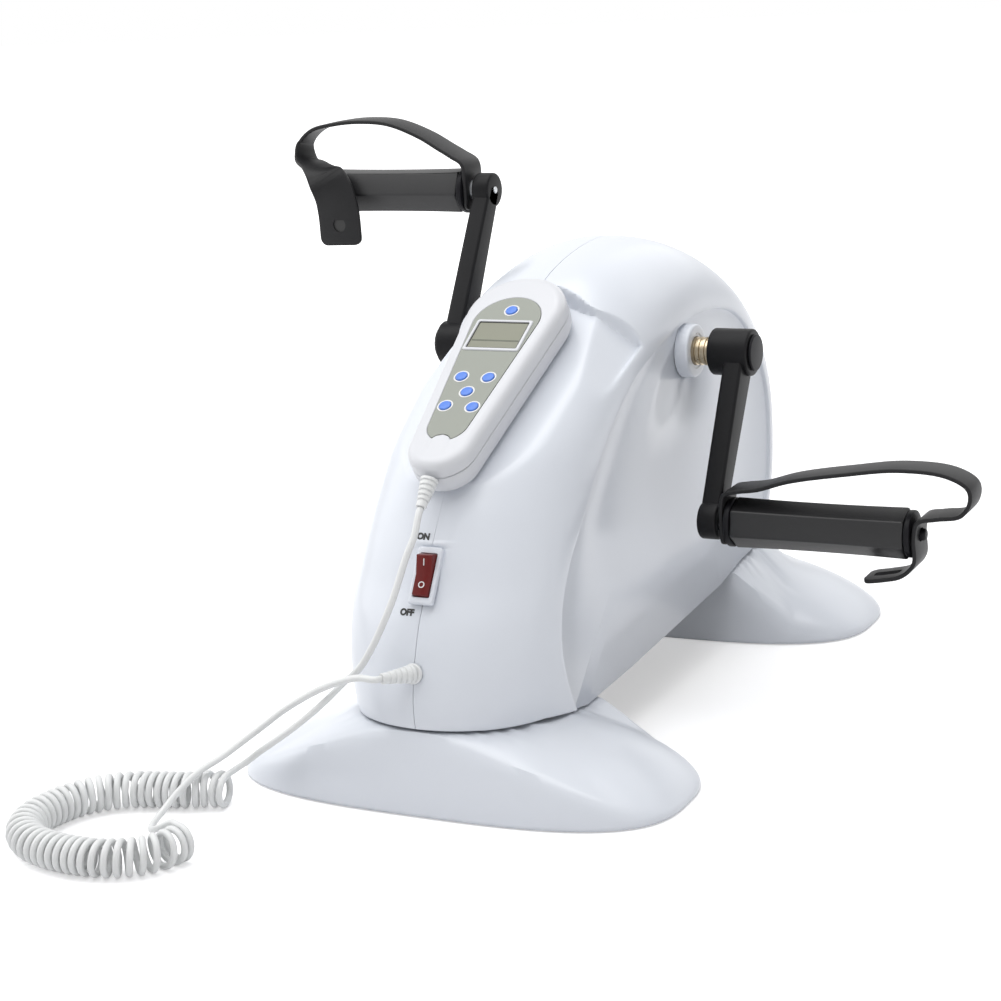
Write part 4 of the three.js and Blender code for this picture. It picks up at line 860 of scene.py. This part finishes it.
for side_name, side in SIDES.items():
    groove = COLLAR_OUTER - COLLAR_GROOVE_DEPTH
    profile = [
        (COLLAR_BORE, COLLAR_INNER), (COLLAR_RADIUS, COLLAR_INNER),
        *edge_arc(COLLAR_RADIUS, COLLAR_OUTER, COLLAR_EDGE, 1),
        (COLLAR_BORE + COLLAR_GROOVE_WIDTH + COLLAR_GROOVE_EDGE, COLLAR_OUTER),
        (COLLAR_BORE + COLLAR_GROOVE_WIDTH, groove), (COLLAR_BORE, groove), (COLLAR_BORE, COLLAR_INNER)]
    stand_in(f"axle_collar_{side_name}", "ring", disc_x(profile, side, AXLE_Y, AXLE_Z, LARGE_ROUND), WHITE)

half_axle = [(AXLE_RADIUS, 0)]
groove_radius = AXLE_RADIUS - GROOVE_DEPTH
for start, end in AXLE_GROOVES:
    half_axle += [
        (AXLE_RADIUS, start - GROOVE_EDGE), (groove_radius, start), (groove_radius, end),
        (AXLE_RADIUS, end + GROOVE_EDGE)]
half_axle += edge_arc(AXLE_RADIUS, AXLE_HALF_LENGTH, AXLE_EDGE, 1) + [(0, AXLE_HALF_LENGTH)]
axle_profile = [(r, -x) for r, x in half_axle[:0:-1]] + half_axle
stand_in("crank_axle", "turned", disc_x(axle_profile, 1, AXLE_Y, AXLE_Z, LARGE_ROUND), AXLE_STEEL)


# Cranks
CRANK_RADIUS = 104
CRANK_ANGLE = 31.4
HUB_RADIUS, HUB_INNER, HUB_OUTER, HUB_EDGE = 14, 79, 104, 1.4
HUB_CAP_RADIUS, HUB_CAP_THICKNESS, HUB_CAP_EDGE = 11, 1.8, 0.9
ARM_INNER, ARM_OUTER = 89.3, 101.3
ARM_HUB_HALF_WIDTH, ARM_END_HALF_WIDTH = 10, 7
ARM_EDGE = 2.2
ARM_STEPS = 12
BOSS_RADIUS, BOSS_EDGE = 11, 1.6
PEDAL_TILT = {"right": 20, "left": 4}


def crank_frame(side):
    return slope_frame(AXLE_Y, AXLE_Z, -CRANK_ANGLE + (0 if side > 0 else 180))


def arm_shape(side):
    """The flat arm, with rounded long edges, from the hub down to the boss."""
    rings = []
    for share in np.linspace(0, 1, ARM_STEPS + 1):
        half = ARM_HUB_HALF_WIDTH + (ARM_END_HALF_WIDTH - ARM_HUB_HALF_WIDTH) * share
        ring = rounded_rectangle(ARM_OUTER - ARM_INNER, 2 * half, ARM_EDGE)
        ring[:, 0] += side * (ARM_INNER + ARM_OUTER) / 2
        rings.append(at_height(ring, -share * CRANK_RADIUS))
    return loft(rings)


for side_name, side in SIDES.items():
    matrix = crank_frame(side)
    hub = disc_x(turned(HUB_RADIUS, HUB_INNER, HUB_OUTER, HUB_EDGE), side, count=LARGE_ROUND)
    boss = disc_x(turned(BOSS_RADIUS, ARM_INNER, ARM_OUTER, BOSS_EDGE), side, z=-CRANK_RADIUS)
    stand_in(f"crank_{side_name}", "casting", joined(arm_shape(side), hub, boss), BLACK_PAINT, matrix)
    cap_start = HUB_OUTER + SEAT
    cap = turned(HUB_CAP_RADIUS, cap_start, cap_start + HUB_CAP_THICKNESS, HUB_CAP_EDGE)
    stand_in(f"hub_cap_{side_name}", "disc", disc_x(cap, side), BLACK_PLASTIC, matrix)


# Pedals: a six-sided roller between a disc and an end cap with its peg
ROLLER_RADIUS, ROLLER_INNER, ROLLER_LENGTH = 15, 110.8, 103
ROLLER_WAIST_SHARE = 0.955
ROLLER_CORNER = 1.8
ROLLER_END_EDGE = 1.2
ROLLER_SIDES, ROLLER_STEPS = 6, 20
DISC_RADIUS, DISC_INNER, DISC_THICKNESS = 14.5, 107.1, 3.4
CAP_RADIUS, CAP_INNER, CAP_THICKNESS = 13.5, 214.1, 3.4
DISC_EDGE = 0.8
PEG_RADIUS, PEG_LENGTH, PEG_EDGE = 3.5, 6.5, 1.4


def pedal_frame(side):
    return Matrix.Translation(crank_frame(side) @ Vector((0, 0, -CRANK_RADIUS)))


def roller_shape(side):
    stations = [(ROLLER_END_EDGE * inset, ROLLER_END_EDGE * drop) for inset, drop in quarter()]
    middle = np.linspace(ROLLER_END_EDGE, ROLLER_LENGTH - ROLLER_END_EDGE, ROLLER_STEPS + 2)[1:-1]
    stations += [(at, 0) for at in middle] + [(ROLLER_LENGTH - at, drop) for at, drop in stations[::-1]]
    rings = []
    for at, drop in stations:
        share = at / ROLLER_LENGTH
        waist = 1 - (1 - ROLLER_WAIST_SHARE) * (1 - (2 * share - 1) ** 2)
        ring = rounded_polygon(ROLLER_RADIUS * waist - drop, ROLLER_SIDES, ROLLER_CORNER)
        rings.append(rows_of(side * (ROLLER_INNER + at), *ring.T))
    return loft(rings)


# Spindles: through the arm, with a neck before the pedal and a small tip on the arm's inner side
SPINDLE_RADIUS, SPINDLE_NECK_RADIUS = 5, 7
SPINDLE_NECK = (101.6, 106.8)
SPINDLE_TIP_RADIUS, SPINDLE_TIP, SPINDLE_STEP = 2.2, 0.8, 1
SPINDLE_EDGE = 0.8


def spindle_shape(side, end):
    tip, shoulder = ARM_INNER - SPINDLE_TIP, ARM_INNER + SPINDLE_STEP
    neck = turned(SPINDLE_NECK_RADIUS, *SPINDLE_NECK, SPINDLE_EDGE)[1:-1]
    profile = [
        (0, tip), *edge_arc(SPINDLE_TIP_RADIUS, tip, SPINDLE_TIP, -1)[::-1], (SPINDLE_TIP_RADIUS, shoulder),
        (SPINDLE_RADIUS, shoulder), (SPINDLE_RADIUS, SPINDLE_NECK[0]), *neck,
        (SPINDLE_RADIUS, SPINDLE_NECK[1]), (SPINDLE_RADIUS, end), (0, end)]
    return disc_x(profile, side, z=-CRANK_RADIUS)


# Straps: the share of the way from the disc to the cap, shares of the roller's radius front to back and up,
# half the width as a share, and the turn in degrees, as in the CAD model. The right one runs straight up, out
# and down, so its rows are the share of the way, the share up and the width.
STRAP_INNER, STRAP_OUTER = 105.44, 219.46
STRAP_HALF_WIDTH = 13
STRAP_THICKNESS = 2.4
STRAP_EDGE = 0.8
STRAP_STEPS = 7
NECK_HOLE_RADIUS = 7.6
RIGHT_STRAP_SHARES = [
    (0, -0.79, 0.9), (0, 0.893, 0.9), (0.0163, 1.25, 0.88), (0.0831, 1.387, 0.84), (0.1915, 1.511, 0.82),
    (0.3641, 1.909, 0.8), (0.6522, 2.3, 0.8), (0.926, 2.568, 0.8), (1.1681, 2.438, 0.8),
    (1.2738, 1.991, 0.8), (1.2801, 1.476, 0.8), (1.2331, 0.961, 0.8), (1.113, 0.79, 0.84),
    (1.0226, 0.618, 0.88), (1.0009, 0, 0.9), (1, -0.961, 0.9), (0.9368, -1.476, 0.9), (0.842, -1.682, 0.9),
    (0.7335, -1.82, 0.85)]
STRAP_SHARES = {
    "right": [(way, 0, up, width, 0) for way, up, width in RIGHT_STRAP_SHARES],
    "left": [
        (0, 0, -0.79, 0.9, 0), (0, 0, 0.343, 0.9, 0), (0.009, 0, 1.167, 0.9, 0),
        (0.0786, 0, 1.524, 0.88, 0), (0.1554, 0, 1.854, 0.86, 0), (0.2764, 0, 2.369, 0.84, 0),
        (0.4698, 0, 2.911, 0.82, 0), (0.6604, 0, 3.035, 0.8, 0), (0.8248, 0, 2.953, 0.8, 0),
        (0.9829, 0, 2.705, 0.78, 0), (1.075, 0, 2.108, 0.74, 0), (1.057, -0.275, 1.476, 0.7, 10),
        (0.9504, -0.893, 1.181, 0.76, 35), (0.8645, -1.305, 0.824, 0.92, 65),
        (0.8094, -1.373, 0.137, 1.1, 85), (0.7858, -1.373, -0.687, 1.19, 90),
        (0.7813, -1.373, -2.2, 1.19, 90)],
}
TAIL_CORNER = 5
TIP_STEPS = 10
TIP_SHARE = 0.4
PEG_HOLE_RADIUS = 4.1
STRAP_CUT, PEG_CUT = 6, 1
SLOT_TOP, STRAP_LOW = -17.5, -45
SLOT_START, SLOT_END, SLOT_HALF_WIDTH, SLOT_CORNER = 193.2, 208.65, 3.6, 2
LEFT_HOLE_HEIGHT = -19.6
LEFT_HOLE_RADIUS = 4.6
WINDOW_FLAT_SHARE = 0.7
# Half the thickness of the black plate in the left strap's window, which is painted shade
WINDOW_SHADE_DEPTH = 0.4
TAIL_X = -(STRAP_INNER + STRAP_SHARES["left"][-1][0] * (STRAP_OUTER - STRAP_INNER))
TAIL_Y = STRAP_SHARES["left"][-1][1] * ROLLER_RADIUS


def strap_shape(name, side):
    rows = np.array(STRAP_SHARES[name])
    x = side * (STRAP_INNER + rows[:, 0] * (STRAP_OUTER - STRAP_INNER))
    knots = rows_of(x, rows[:, 1] * ROLLER_RADIUS, rows[:, 2] * ROLLER_RADIUS)
    tip = np.linspace(0, 1, TIP_STEPS) ** 2 * TIP_SHARE / (len(rows) - 1)
    middle = np.linspace(0, 1, (len(rows) - 1) * STRAP_STEPS + 1)
    at = np.concatenate([tip, middle[(middle > tip[-1]) & (middle < 1 - tip[-1])], 1 - tip[::-1]])
    line = catmull_rom(knots, at)
    widths, degrees = (np.interp(at, np.linspace(0, 1, len(rows)), rows[:, k]) for k in (3, 4))
    reach = reach_along(line)
    rings = []
    for point, along, width, turn, start in zip(line, directions(line), widths, np.radians(degrees), reach):
        end = min(start, reach[-1] - start)
        corner = TAIL_CORNER - math.sqrt(max(TAIL_CORNER ** 2 - max(TAIL_CORNER - end, 0) ** 2, 0))
        out = unit(np.cross(along, (-side * math.sin(turn), math.cos(turn), 0)))
        across = np.cross(out, along)
        section = rounded_rectangle(2 * (width * STRAP_HALF_WIDTH - corner), STRAP_THICKNESS, STRAP_EDGE, 3)
        rings.append([point + across * u + out * v for u, v in section])
    return loft(rings)


def window_shape(start, end):
    """A rod along Y with a flat top, for the window in the tail of the left strap."""
    outline = circle(LEFT_HOLE_RADIUS, HOLE_ROUND)
    outline[:, 1] = np.minimum(outline[:, 1], LEFT_HOLE_RADIUS * WINDOW_FLAT_SHARE)
    points, faces = prism(outline, start, end)
    return rows_of(TAIL_X + points[:, 0], points[:, 2], LEFT_HOLE_HEIGHT + points[:, 1]), faces


def strap_cutters(name, side):
    def hole(radius, start, end):
        return prism_x(circle(radius, HOLE_ROUND), side * start, side * end)

    neck = hole(NECK_HOLE_RADIUS, STRAP_INNER - STRAP_CUT, STRAP_INNER + STRAP_CUT)
    if name == "left":
        return [neck, window_shape(STRAP_LOW, ROLLER_RADIUS)]
    peg = hole(PEG_HOLE_RADIUS, CAP_INNER + PEG_CUT, STRAP_OUTER + STRAP_CUT)
    slot = rounded_rectangle(SLOT_END - SLOT_START, 2 * SLOT_HALF_WIDTH, SLOT_CORNER)
    slot += ((SLOT_START + SLOT_END) / 2, 0)
    return [neck, peg, prism(slot, STRAP_LOW, SLOT_TOP)]


for side_name, side in SIDES.items():
    spindle = f"pedal_spindle_{side_name}"
    spindle_end = max(abs(corner.x - ORIGIN.x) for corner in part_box(spindle)) / MM
    stand_in(spindle, "pin", spindle_shape(side, spindle_end), ZINC, crank_frame(side))
    hung = pedal_frame(side)
    tilted = hung @ turned_by(PEDAL_TILT[side_name])
    stand_in(f"pedal_roller_{side_name}", "grip", roller_shape(side), ROLLER_RUBBER, tilted, sharp=50)
    disc = turned(DISC_RADIUS, DISC_INNER, DISC_INNER + DISC_THICKNESS, DISC_EDGE)
    stand_in(f"pedal_disc_{side_name}", "moulding", disc_x(disc, side), BLACK_PLASTIC, tilted)
    cap = turned(CAP_RADIUS, CAP_INNER, CAP_INNER + CAP_THICKNESS, DISC_EDGE)
    peg = turned(PEG_RADIUS, CAP_INNER, CAP_INNER + CAP_THICKNESS + PEG_LENGTH, PEG_EDGE)
    both = joined(disc_x(cap, side), disc_x(peg, side, count=HOLE_ROUND))
    stand_in(f"pedal_cap_{side_name}", "moulding", both, BLACK_PLASTIC, tilted)
    strap = stand_in(f"pedal_strap_{side_name}", "band", strap_shape(side_name, side), STRAP_RUBBER, hung)
    carve(strap, hung, strap_cutters(side_name, side))

# A black plate in the window in the tail of the left strap is painted shade: it stands in for the shade
# inside the window
add_piece(
    "strap_window_painted_shade", window_shape(TAIL_Y - WINDOW_SHADE_DEPTH, TAIL_Y + WINDOW_SHADE_DEPTH), PRINT_AND_SHADE_BLACK,
    body="pedal_left", slot="rubber_black", matrix=pedal_frame(-1))


# Mains switch: a white frame round the red rocker, with its two marks
BEZEL_RISE = 3.1
BEZEL_CORNER = 1.6
BEZEL_EDGE = 0.9
CAVITY_SIZE = (10.2, 24.6)
CAVITY_DEPTH = 11
CAVITY_EDGE, CAVITY_CORNER, CAVITY_WALL = 0.5, 0.8, 1
ROCKER_WIDTH, ROCKER_RADIUS, ROCKER_PIVOT, ROCKER_RISE, ROCKER_SKIRT = 9.6, 12, 1.2, 3.4, 5
ROCKER_THROW = 20
ROCKER_EDGE = 0.45
ROCKER_STEPS = (8, 6)
MARK_HEIGHT = 5
MARK_THICKNESS = 0.12
MARK_BOLDNESS = 0.05
WORD_BOLDNESS = 0.28
MARK_REACH = 20
MARK_PLACE = 6
WORD_HEIGHT = 4.9
WORD_PLACES = {"ON": (-6.6, 21.7), "OFF": (-8.6, -20.3)}


def bezel_shape():
    rows = [(BEZEL_SIZE, 0, BEZEL_CORNER, SEAT)]
    for inset, drop in quarter():
        rows.append((BEZEL_SIZE, -2 * BEZEL_EDGE * inset, BEZEL_CORNER, BEZEL_RISE - BEZEL_EDGE * drop))
    for grow, z in ((CAVITY_EDGE, BEZEL_RISE), (0, BEZEL_RISE - CAVITY_EDGE), (0, -CAVITY_DEPTH)):
        rows.append((CAVITY_SIZE, grow, CAVITY_CORNER, z))
    return frame_shape(rows + [(CAVITY_SIZE, 2 * CAVITY_WALL, CAVITY_WALL, z) for z in (-CAVITY_DEPTH, SEAT)])


add_piece("switch_bezel", bezel_shape(), WHITE, ["switch_body"], matrix=SWITCH, sharp=40)


def rocker_outline():
    slope = math.tan(math.radians(ROCKER_THROW))
    root = math.sqrt((ROCKER_RISE * slope) ** 2 - (1 + slope ** 2) * (ROCKER_RISE ** 2 - ROCKER_RADIUS ** 2))
    proud = (root - ROCKER_RISE * slope) / (1 + slope ** 2)
    high = math.atan2(ROCKER_RISE + slope * proud, proud)
    low = math.pi - math.asin(ROCKER_RISE / ROCKER_RADIUS)
    skirt = math.asin(ROCKER_SKIRT / ROCKER_RADIUS)
    centre = (0, ROCKER_PIVOT)
    return np.concatenate([
        arc(ROCKER_RADIUS, centre, -skirt, high, ROCKER_STEPS[0]), [(0, ROCKER_PIVOT + ROCKER_RISE)],
        arc(ROCKER_RADIUS, centre, low, math.pi + skirt, ROCKER_STEPS[1])])


rocker_shape = prism_x(rocker_outline(), -ROCKER_WIDTH / 2, ROCKER_WIDTH / 2)
rocker = stand_in("rocker", "key", rocker_shape, ROCKER_RED, SWITCH, sharp=20)
round_edges(rocker, ROCKER_EDGE, 40)


def tree_of(piece):
    """Search tree of a piece's finished surface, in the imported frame."""
    bpy.context.view_layer.update()
    return BVHTree.FromObject(piece, bpy.context.evaluated_depsgraph_get())


def lettering(name, text, height, boldness, finish, body, surfaces, matrix):
    """Letters laid on the nearest of some surfaces from straight above them, in a frame's own X and Y."""
    curve = bpy.data.curves.new(name, "FONT")
    set_all(
        curve, body=text, size=height * MM, align_x="CENTER", align_y="CENTER", extrude=MARK_THICKNESS * MM,
        offset=boldness * MM)
    letters = link(name, curve)
    mesh = finished_mesh(letters)
    bpy.data.objects.remove(letters)
    turn = matrix.to_3x3()
    down = -(turn @ Vector((0, 0, 1)))
    for vertex in mesh.vertices:
        spot = place_one(matrix.translation) + turn @ Vector((*vertex.co.xy, 0))
        start = spot - down * MARK_REACH * MM
        hits = [hit for hit in (surface.ray_cast(start, down)[0] for surface in surfaces) if hit]
        nearest = min(hits, key=lambda hit: (hit - start).length) if hits else start
        vertex.co = nearest - down * (vertex.co.z + MARK_THICKNESS / 2 * MM)
    mesh.materials.clear()
    mesh.materials.append(finish)
    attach(link(name, mesh), body)


rocker_tree = tree_of(rocker)
for state, mark, y in (("on", "I", MARK_PLACE), ("off", "O", -MARK_PLACE)):
    lettering(
        f"switch_mark_{state}", mark, MARK_HEIGHT, MARK_BOLDNESS, PRINT_WHITE, "switch_rocker", [rocker_tree],
        SWITCH @ Matrix.Translation((0, y, 0)))
shell_trees = [tree_of(bpy.data.objects[f"shell_{name}_moulding"]) for name in SIDES]
for word, (x, y) in WORD_PLACES.items():
    lettering(
        f"switch_word_{word.lower()}", word, WORD_HEIGHT, WORD_BOLDNESS, PRINT_AND_SHADE_BLACK, "base", shell_trees,
        SWITCH @ Matrix.Translation((x, y, 0)))


# Strain reliefs: a ribbed cone on a flange
RELIEF_RIBS = 5
RIB_DEPTH = 0.9
RIB_EDGE = 0.25
RIB_SHARE = 0.55


def ribbed_cone(length):
    pitch = length / (RELIEF_RIBS + 1)
    rows = [(0, 0), (RELIEF_BASE_RADIUS, 0)]
    for i in range(RELIEF_RIBS):
        radius = RELIEF_BASE_RADIUS + (RELIEF_TIP_RADIUS - RELIEF_BASE_RADIUS) * i / RELIEF_RIBS
        top, low = pitch * (i + RIB_SHARE), pitch * (i + 1)
        rows += [
            (radius, top - RIB_EDGE), (radius - RIB_EDGE, top), (radius - RIB_DEPTH, top + RIB_EDGE),
            (radius - RIB_DEPTH, low - 2 * RIB_EDGE), (radius - RIB_EDGE, low - RIB_EDGE)]
    rows += [(RELIEF_TIP_RADIUS, length - RIB_EDGE), (RELIEF_TIP_RADIUS - RIB_EDGE, length), (0, length)]
    return lathe(rows, SMALL_ROUND)


gland_turn = Vector(GLAND_DIRECTION_SHARES).to_track_quat("Z", "Y").to_matrix().to_4x4()
gland_cone = Matrix.Translation(GLAND @ Vector((0, 0, SEAT + GLAND_FLANGE / 2))) @ gland_turn
flange_top = SEAT + GLAND_FLANGE
flange = [
    (0, SEAT), (GLAND_FLANGE_RADIUS, SEAT), *edge_arc(GLAND_FLANGE_RADIUS, flange_top, GLAND_FLANGE_EDGE, 1),
    (0, flange_top)]
gland = joined(moved(lathe(flange), GLAND), moved(ribbed_cone(GLAND_LENGTH), gland_cone))
stand_in("cord_gland", "moulding", gland, CORD_WHITE)
stand_in("handset_relief", "moulding", ribbed_cone(RELIEF_LENGTH), CORD_WHITE, RELIEF)


# Handset
HANDSET_SPLIT = 10.3
FRONT_EDGE = (6.5, 5)
BACK_EDGE = (7.2, 9)
EDGE_RINGS = 9
JOINT_LAND, JOINT_EDGE = 2, 0.4
FACE_TOP = (20.5, 96.5)
FACE_END = (12, 10)
FACE_THICKNESS = 1
FACE_RECESS = 1.3
FACE_EDGE = 0.3
FACE_CUT = 3
NOTCH_RADIUS = 6.4
NOTCH_CENTRE = (0, -3.6)
DISPLAY_CENTRE = 84
DISPLAY_SIZE = (35.4, 26)
DISPLAY_BORDER = 1.9
DISPLAY_RISE, DISPLAY_CORNER, DISPLAY_EDGE = 0.8, 1.6, 0.5
GLASS_RISE, GLASS_CORNER, GLASS_EDGE = 0.15, 0.3, 0.5
# Rise and edge of the thin black frame round the glass, which is painted shade
SHADE_FRAME_RISE, SHADE_FRAME_EDGE = 0.45, 0.1
WINDOW_MARGIN = 1
LINE_THICKNESS, LINE_MARGIN = 0.06, 2
LINE_SHARES = (0.30, 0.05)
BUTTON_RADIUS, BUTTON_RISE, BUTTON_EDGE, BUTTON_BOTTOM = 3.5, 1, 0.7, -3.6
BUTTON_DOME = 0.25
BUTTON_RING_WIDTH = 0.8
BUTTON_RING_RISE = 0.06
BUTTON_RING_DEPTH = 0.5
BUTTON_SHARES = {
    "power": (0, 0.979), "start": (-0.078, 0.454), "stop": (0.078, 0.454), "mode": (0, 0.341),
    "minus": (-0.078, 0.231), "plus": (0.078, 0.231)}


def handset_outline(grow):
    return tapered(*HANDSET_TOP, *HANDSET_END, grow)


def face_outline(grow):
    """Outline of the face plate, with the round notch at its lower end."""
    outline = tapered(*FACE_TOP, *FACE_END, grow)
    spokes = outline - NOTCH_CENTRE
    reach = np.linalg.norm(spokes, axis=1)[:, None]
    return NOTCH_CENTRE + spokes / reach * np.maximum(reach, NOTCH_RADIUS - grow)


def case_rings(edge, level, side):
    """Rings of one half of the case, from the joint to its rounded face."""
    joint = side * SEAT / 2 - HANDSET_SPLIT
    rings = [
        at_height(handset_outline(-JOINT_LAND), joint), at_height(handset_outline(-JOINT_EDGE), joint),
        at_height(handset_outline(0), joint + side * JOINT_EDGE)]
    for inset, drop in quarter(EDGE_RINGS):
        rings.append(at_height(handset_outline(-edge[0] * inset), level - side * edge[1] * drop))
    return rings


face_rings = [
    at_height(face_outline(SEAT + FACE_EDGE), 0), at_height(face_outline(SEAT), -FACE_EDGE),
    at_height(face_outline(SEAT), -FACE_RECESS)]
front = loft(case_rings(FRONT_EDGE, 0, 1) + face_rings, caps=(False, True))
stand_in("handset_front", "moulding", front, HANDSET_WHITE, HANDSET)
back = loft(case_rings(BACK_EDGE, -HANDSET_THICKNESS, -1), caps=(False, True))
stand_in("handset_back", "moulding", back, HANDSET_WHITE, HANDSET)
plate = stand_in("face_plate", "film", prism(face_outline(0), -FACE_THICKNESS, 0), FACE_GREY, HANDSET)
button_places = {
    name: (x * HANDSET_TOP[1], y * HANDSET_TOP[1]) for name, (x, y) in BUTTON_SHARES.items()}
window_outline = rounded_rectangle(
    *[side - WINDOW_MARGIN for side in DISPLAY_SIZE], WINDOW_MARGIN) + (0, DISPLAY_CENTRE)
hole_outlines = [circle(BUTTON_RADIUS + SEAT, SMALL_ROUND) + spot for spot in button_places.values()]
openings = [prism(outline, -FACE_CUT, FACE_CUT) for outline in (window_outline, *hole_outlines)]
carve(plate, HANDSET, openings)


def edged_frame(outer, inner, corner, top, edge):
    """A rectangular frame on the face plate's underside, with rounded outer edges."""
    outer_rows = ((0, -FACE_THICKNESS), (0, top - edge), (-edge, top - edge / 4), (-2 * edge, top))
    inner_rows = ((edge, top), (0, top - edge), (0, -FACE_THICKNESS))
    return frame_shape([
        *[(outer, grow, corner, z) for grow, z in outer_rows],
        *[(inner, grow, corner / 2, z) for grow, z in inner_rows]])


window_size = [side - 2 * DISPLAY_BORDER for side in DISPLAY_SIZE]
display_matrix = HANDSET @ Matrix.Translation((0, DISPLAY_CENTRE, 0))
display_shape = edged_frame(DISPLAY_SIZE, window_size, DISPLAY_CORNER, DISPLAY_RISE, DISPLAY_EDGE)
stand_in("display_frame", "moulding", display_shape, HANDSET_WHITE, display_matrix)
glass_size = [side - 2 * GLASS_EDGE for side in window_size]
on_display = {"body": "handset", "slot": "display", "matrix": display_matrix}
# Painted shade: a thin black frame round the glass stands in for the shade in the display's recess
glass_shade_frame = edged_frame(window_size, glass_size, 2 * GLASS_CORNER, SHADE_FRAME_RISE, SHADE_FRAME_EDGE)
add_piece("display_painted_shade_edge", glass_shade_frame, PRINT_AND_SHADE_BLACK, **on_display)
glass = prism(rounded_rectangle(*glass_size, GLASS_CORNER), -FACE_THICKNESS, GLASS_RISE)
stand_in("display_glass", "pane", glass, DISPLAY, display_matrix)
line_y = (LINE_SHARES[0] - 0.5) * window_size[1]
line_height = LINE_SHARES[1] * window_size[1]
line_outline = rounded_rectangle(window_size[0] - LINE_MARGIN, line_height, line_height / 3) + (0, line_y)
line = prism(line_outline, GLASS_RISE, GLASS_RISE + LINE_THICKNESS)
add_piece("display_line", line, DISPLAY_LINE, **on_display)

for name, (x, y) in button_places.items():
    spot = HANDSET @ Matrix.Translation((x, y, 0))
    profile = [
        (0, BUTTON_BOTTOM), (BUTTON_RADIUS, BUTTON_BOTTOM),
        *edge_arc(BUTTON_RADIUS, BUTTON_RISE - BUTTON_DOME, BUTTON_EDGE, 1),
        (BUTTON_RADIUS / 2, BUTTON_RISE - BUTTON_DOME / 4), (0, BUTTON_RISE)]
    stand_in(f"button_{name}", "key", lathe(profile, SMALL_ROUND), BUTTON_BLUE, spot)
    inner = BUTTON_RADIUS + SEAT
    outer, low, high = inner + BUTTON_RING_WIDTH, -BUTTON_RING_DEPTH, BUTTON_RING_RISE
    ring = [(inner, low), (outer, low), (outer, high), (inner, high), (inner, low)]
    add_piece(
        f"button_{name}_ring", lathe(ring, SMALL_ROUND), PRINT_WHITE, body="handset", slot="white_gloss",
        matrix=spot)


# Edges of the CAD pieces that stay
CAD_EDGES = {"mains_inlet": 0.5, "chassis": 0.4, "front_cross_bar": 1.0, "rear_cross_bar": 1.0}
for node, width in CAD_EDGES.items():
    edges = nodes[node].modifiers.new("edges", "BEVEL")
    set_all(edges, width=width * MM, segments=2, limit_method="ANGLE")


# Floor, world and lamps
FLOOR_HALF_SIDE = 6000
FLOOR_COLOUR = (0.80, 0.80, 0.81)
FLOOR_GLOW = 0.42
FLOOR_FAR_GLOW = 1.0
FLOOR_NEAR, FLOOR_FAR = 450, 1800
AMBIENT = 0.42


def camera_share(tree):
    """1 for the rays that look at the background, straight or in gloss or glass."""
    path = add_node(tree, "LightPath", {})
    total = path.outputs["Is Camera Ray"]
    for ray in ("Is Glossy Ray", "Is Transmission Ray"):
        add = add_node(tree, "Math", {0: total, 1: path.outputs[ray]}, operation="ADD", use_clamp=True)
        total = add.outputs[0]
    return total


def make_floor():
    finish = bpy.data.materials.new("floor")
    finish.use_nodes = True
    tree = finish.node_tree
    tree.nodes.clear()
    place_on = add_node(tree, "TexCoord", {}).outputs["Object"]
    reach = add_node(tree, "VectorMath", {0: place_on}, operation="LENGTH")
    level = add_node(tree, "MapRange", {
        "Value": reach.outputs["Value"], "From Min": FLOOR_NEAR * MM, "From Max": FLOOR_FAR * MM,
        "To Min": FLOOR_GLOW, "To Max": FLOOR_FAR_GLOW}, interpolation_type="SMOOTHSTEP")
    seen = add_node(tree, "Math", {0: camera_share(tree), 1: level.outputs["Result"]}, operation="MULTIPLY")
    glow = add_node(tree, "Emission", {"Strength": seen.outputs[0]})
    diffuse = add_node(tree, "BsdfDiffuse", {"Color": (*FLOOR_COLOUR, 1)})
    both = add_node(tree, "AddShader", {0: diffuse.outputs[0], 1: glow.outputs[0]})
    add_node(tree, "OutputMaterial", {"Surface": both.outputs[0]})
    mesh = bpy.data.meshes.new("floor")
    corners = np.array([(-1, -1, 0), (1, -1, 0), (1, 1, 0), (-1, 1, 0)]) * FLOOR_HALF_SIDE
    mesh.from_pydata(place(corners).tolist(), [], [(0, 1, 2, 3)])
    mesh.materials.append(finish)
    link("floor", mesh)


def make_world():
    world = bpy.data.worlds.new("studio")
    scene.world = world
    world.use_nodes = True
    background = world.node_tree.nodes["Background"]
    background.inputs["Color"].default_value = (1, 1, 1, 1)
    seen = camera_share(world.node_tree)
    level = add_node(world.node_tree, "MapRange", {"Value": seen, "To Min": AMBIENT, "To Max": 1})
    world.node_tree.links.new(level.outputs["Result"], background.inputs["Strength"])


LAMP_TARGET = (0, 0, 120)
# Name, place, size across and along, power in watts
LAMPS = [
    ("key", (-2300, -500, 1500), (2400, 2400), 22),
    ("top", (-200, -300, 2400), (2600, 2600), 54),
    ("fill", (2000, -900, 500), (2000, 900), 3),
    ("back", (400, 2200, 1400), (2000, 1400), 6),
]


def make_lamps():
    for name, spot, size, power in LAMPS:
        data = bpy.data.lights.new(name, "AREA")
        set_all(data, shape="RECTANGLE", size=size[0] * MM, size_y=size[1] * MM, energy=power)
        lamp = link(name, data)
        lamp.location = place_one(spot)
        aim = place_one(LAMP_TARGET) - lamp.location
        lamp.rotation_euler = aim.to_track_quat("-Z", "Y").to_euler()


make_floor()
make_world()
make_lamps()
scene.view_settings.view_transform = "Standard"
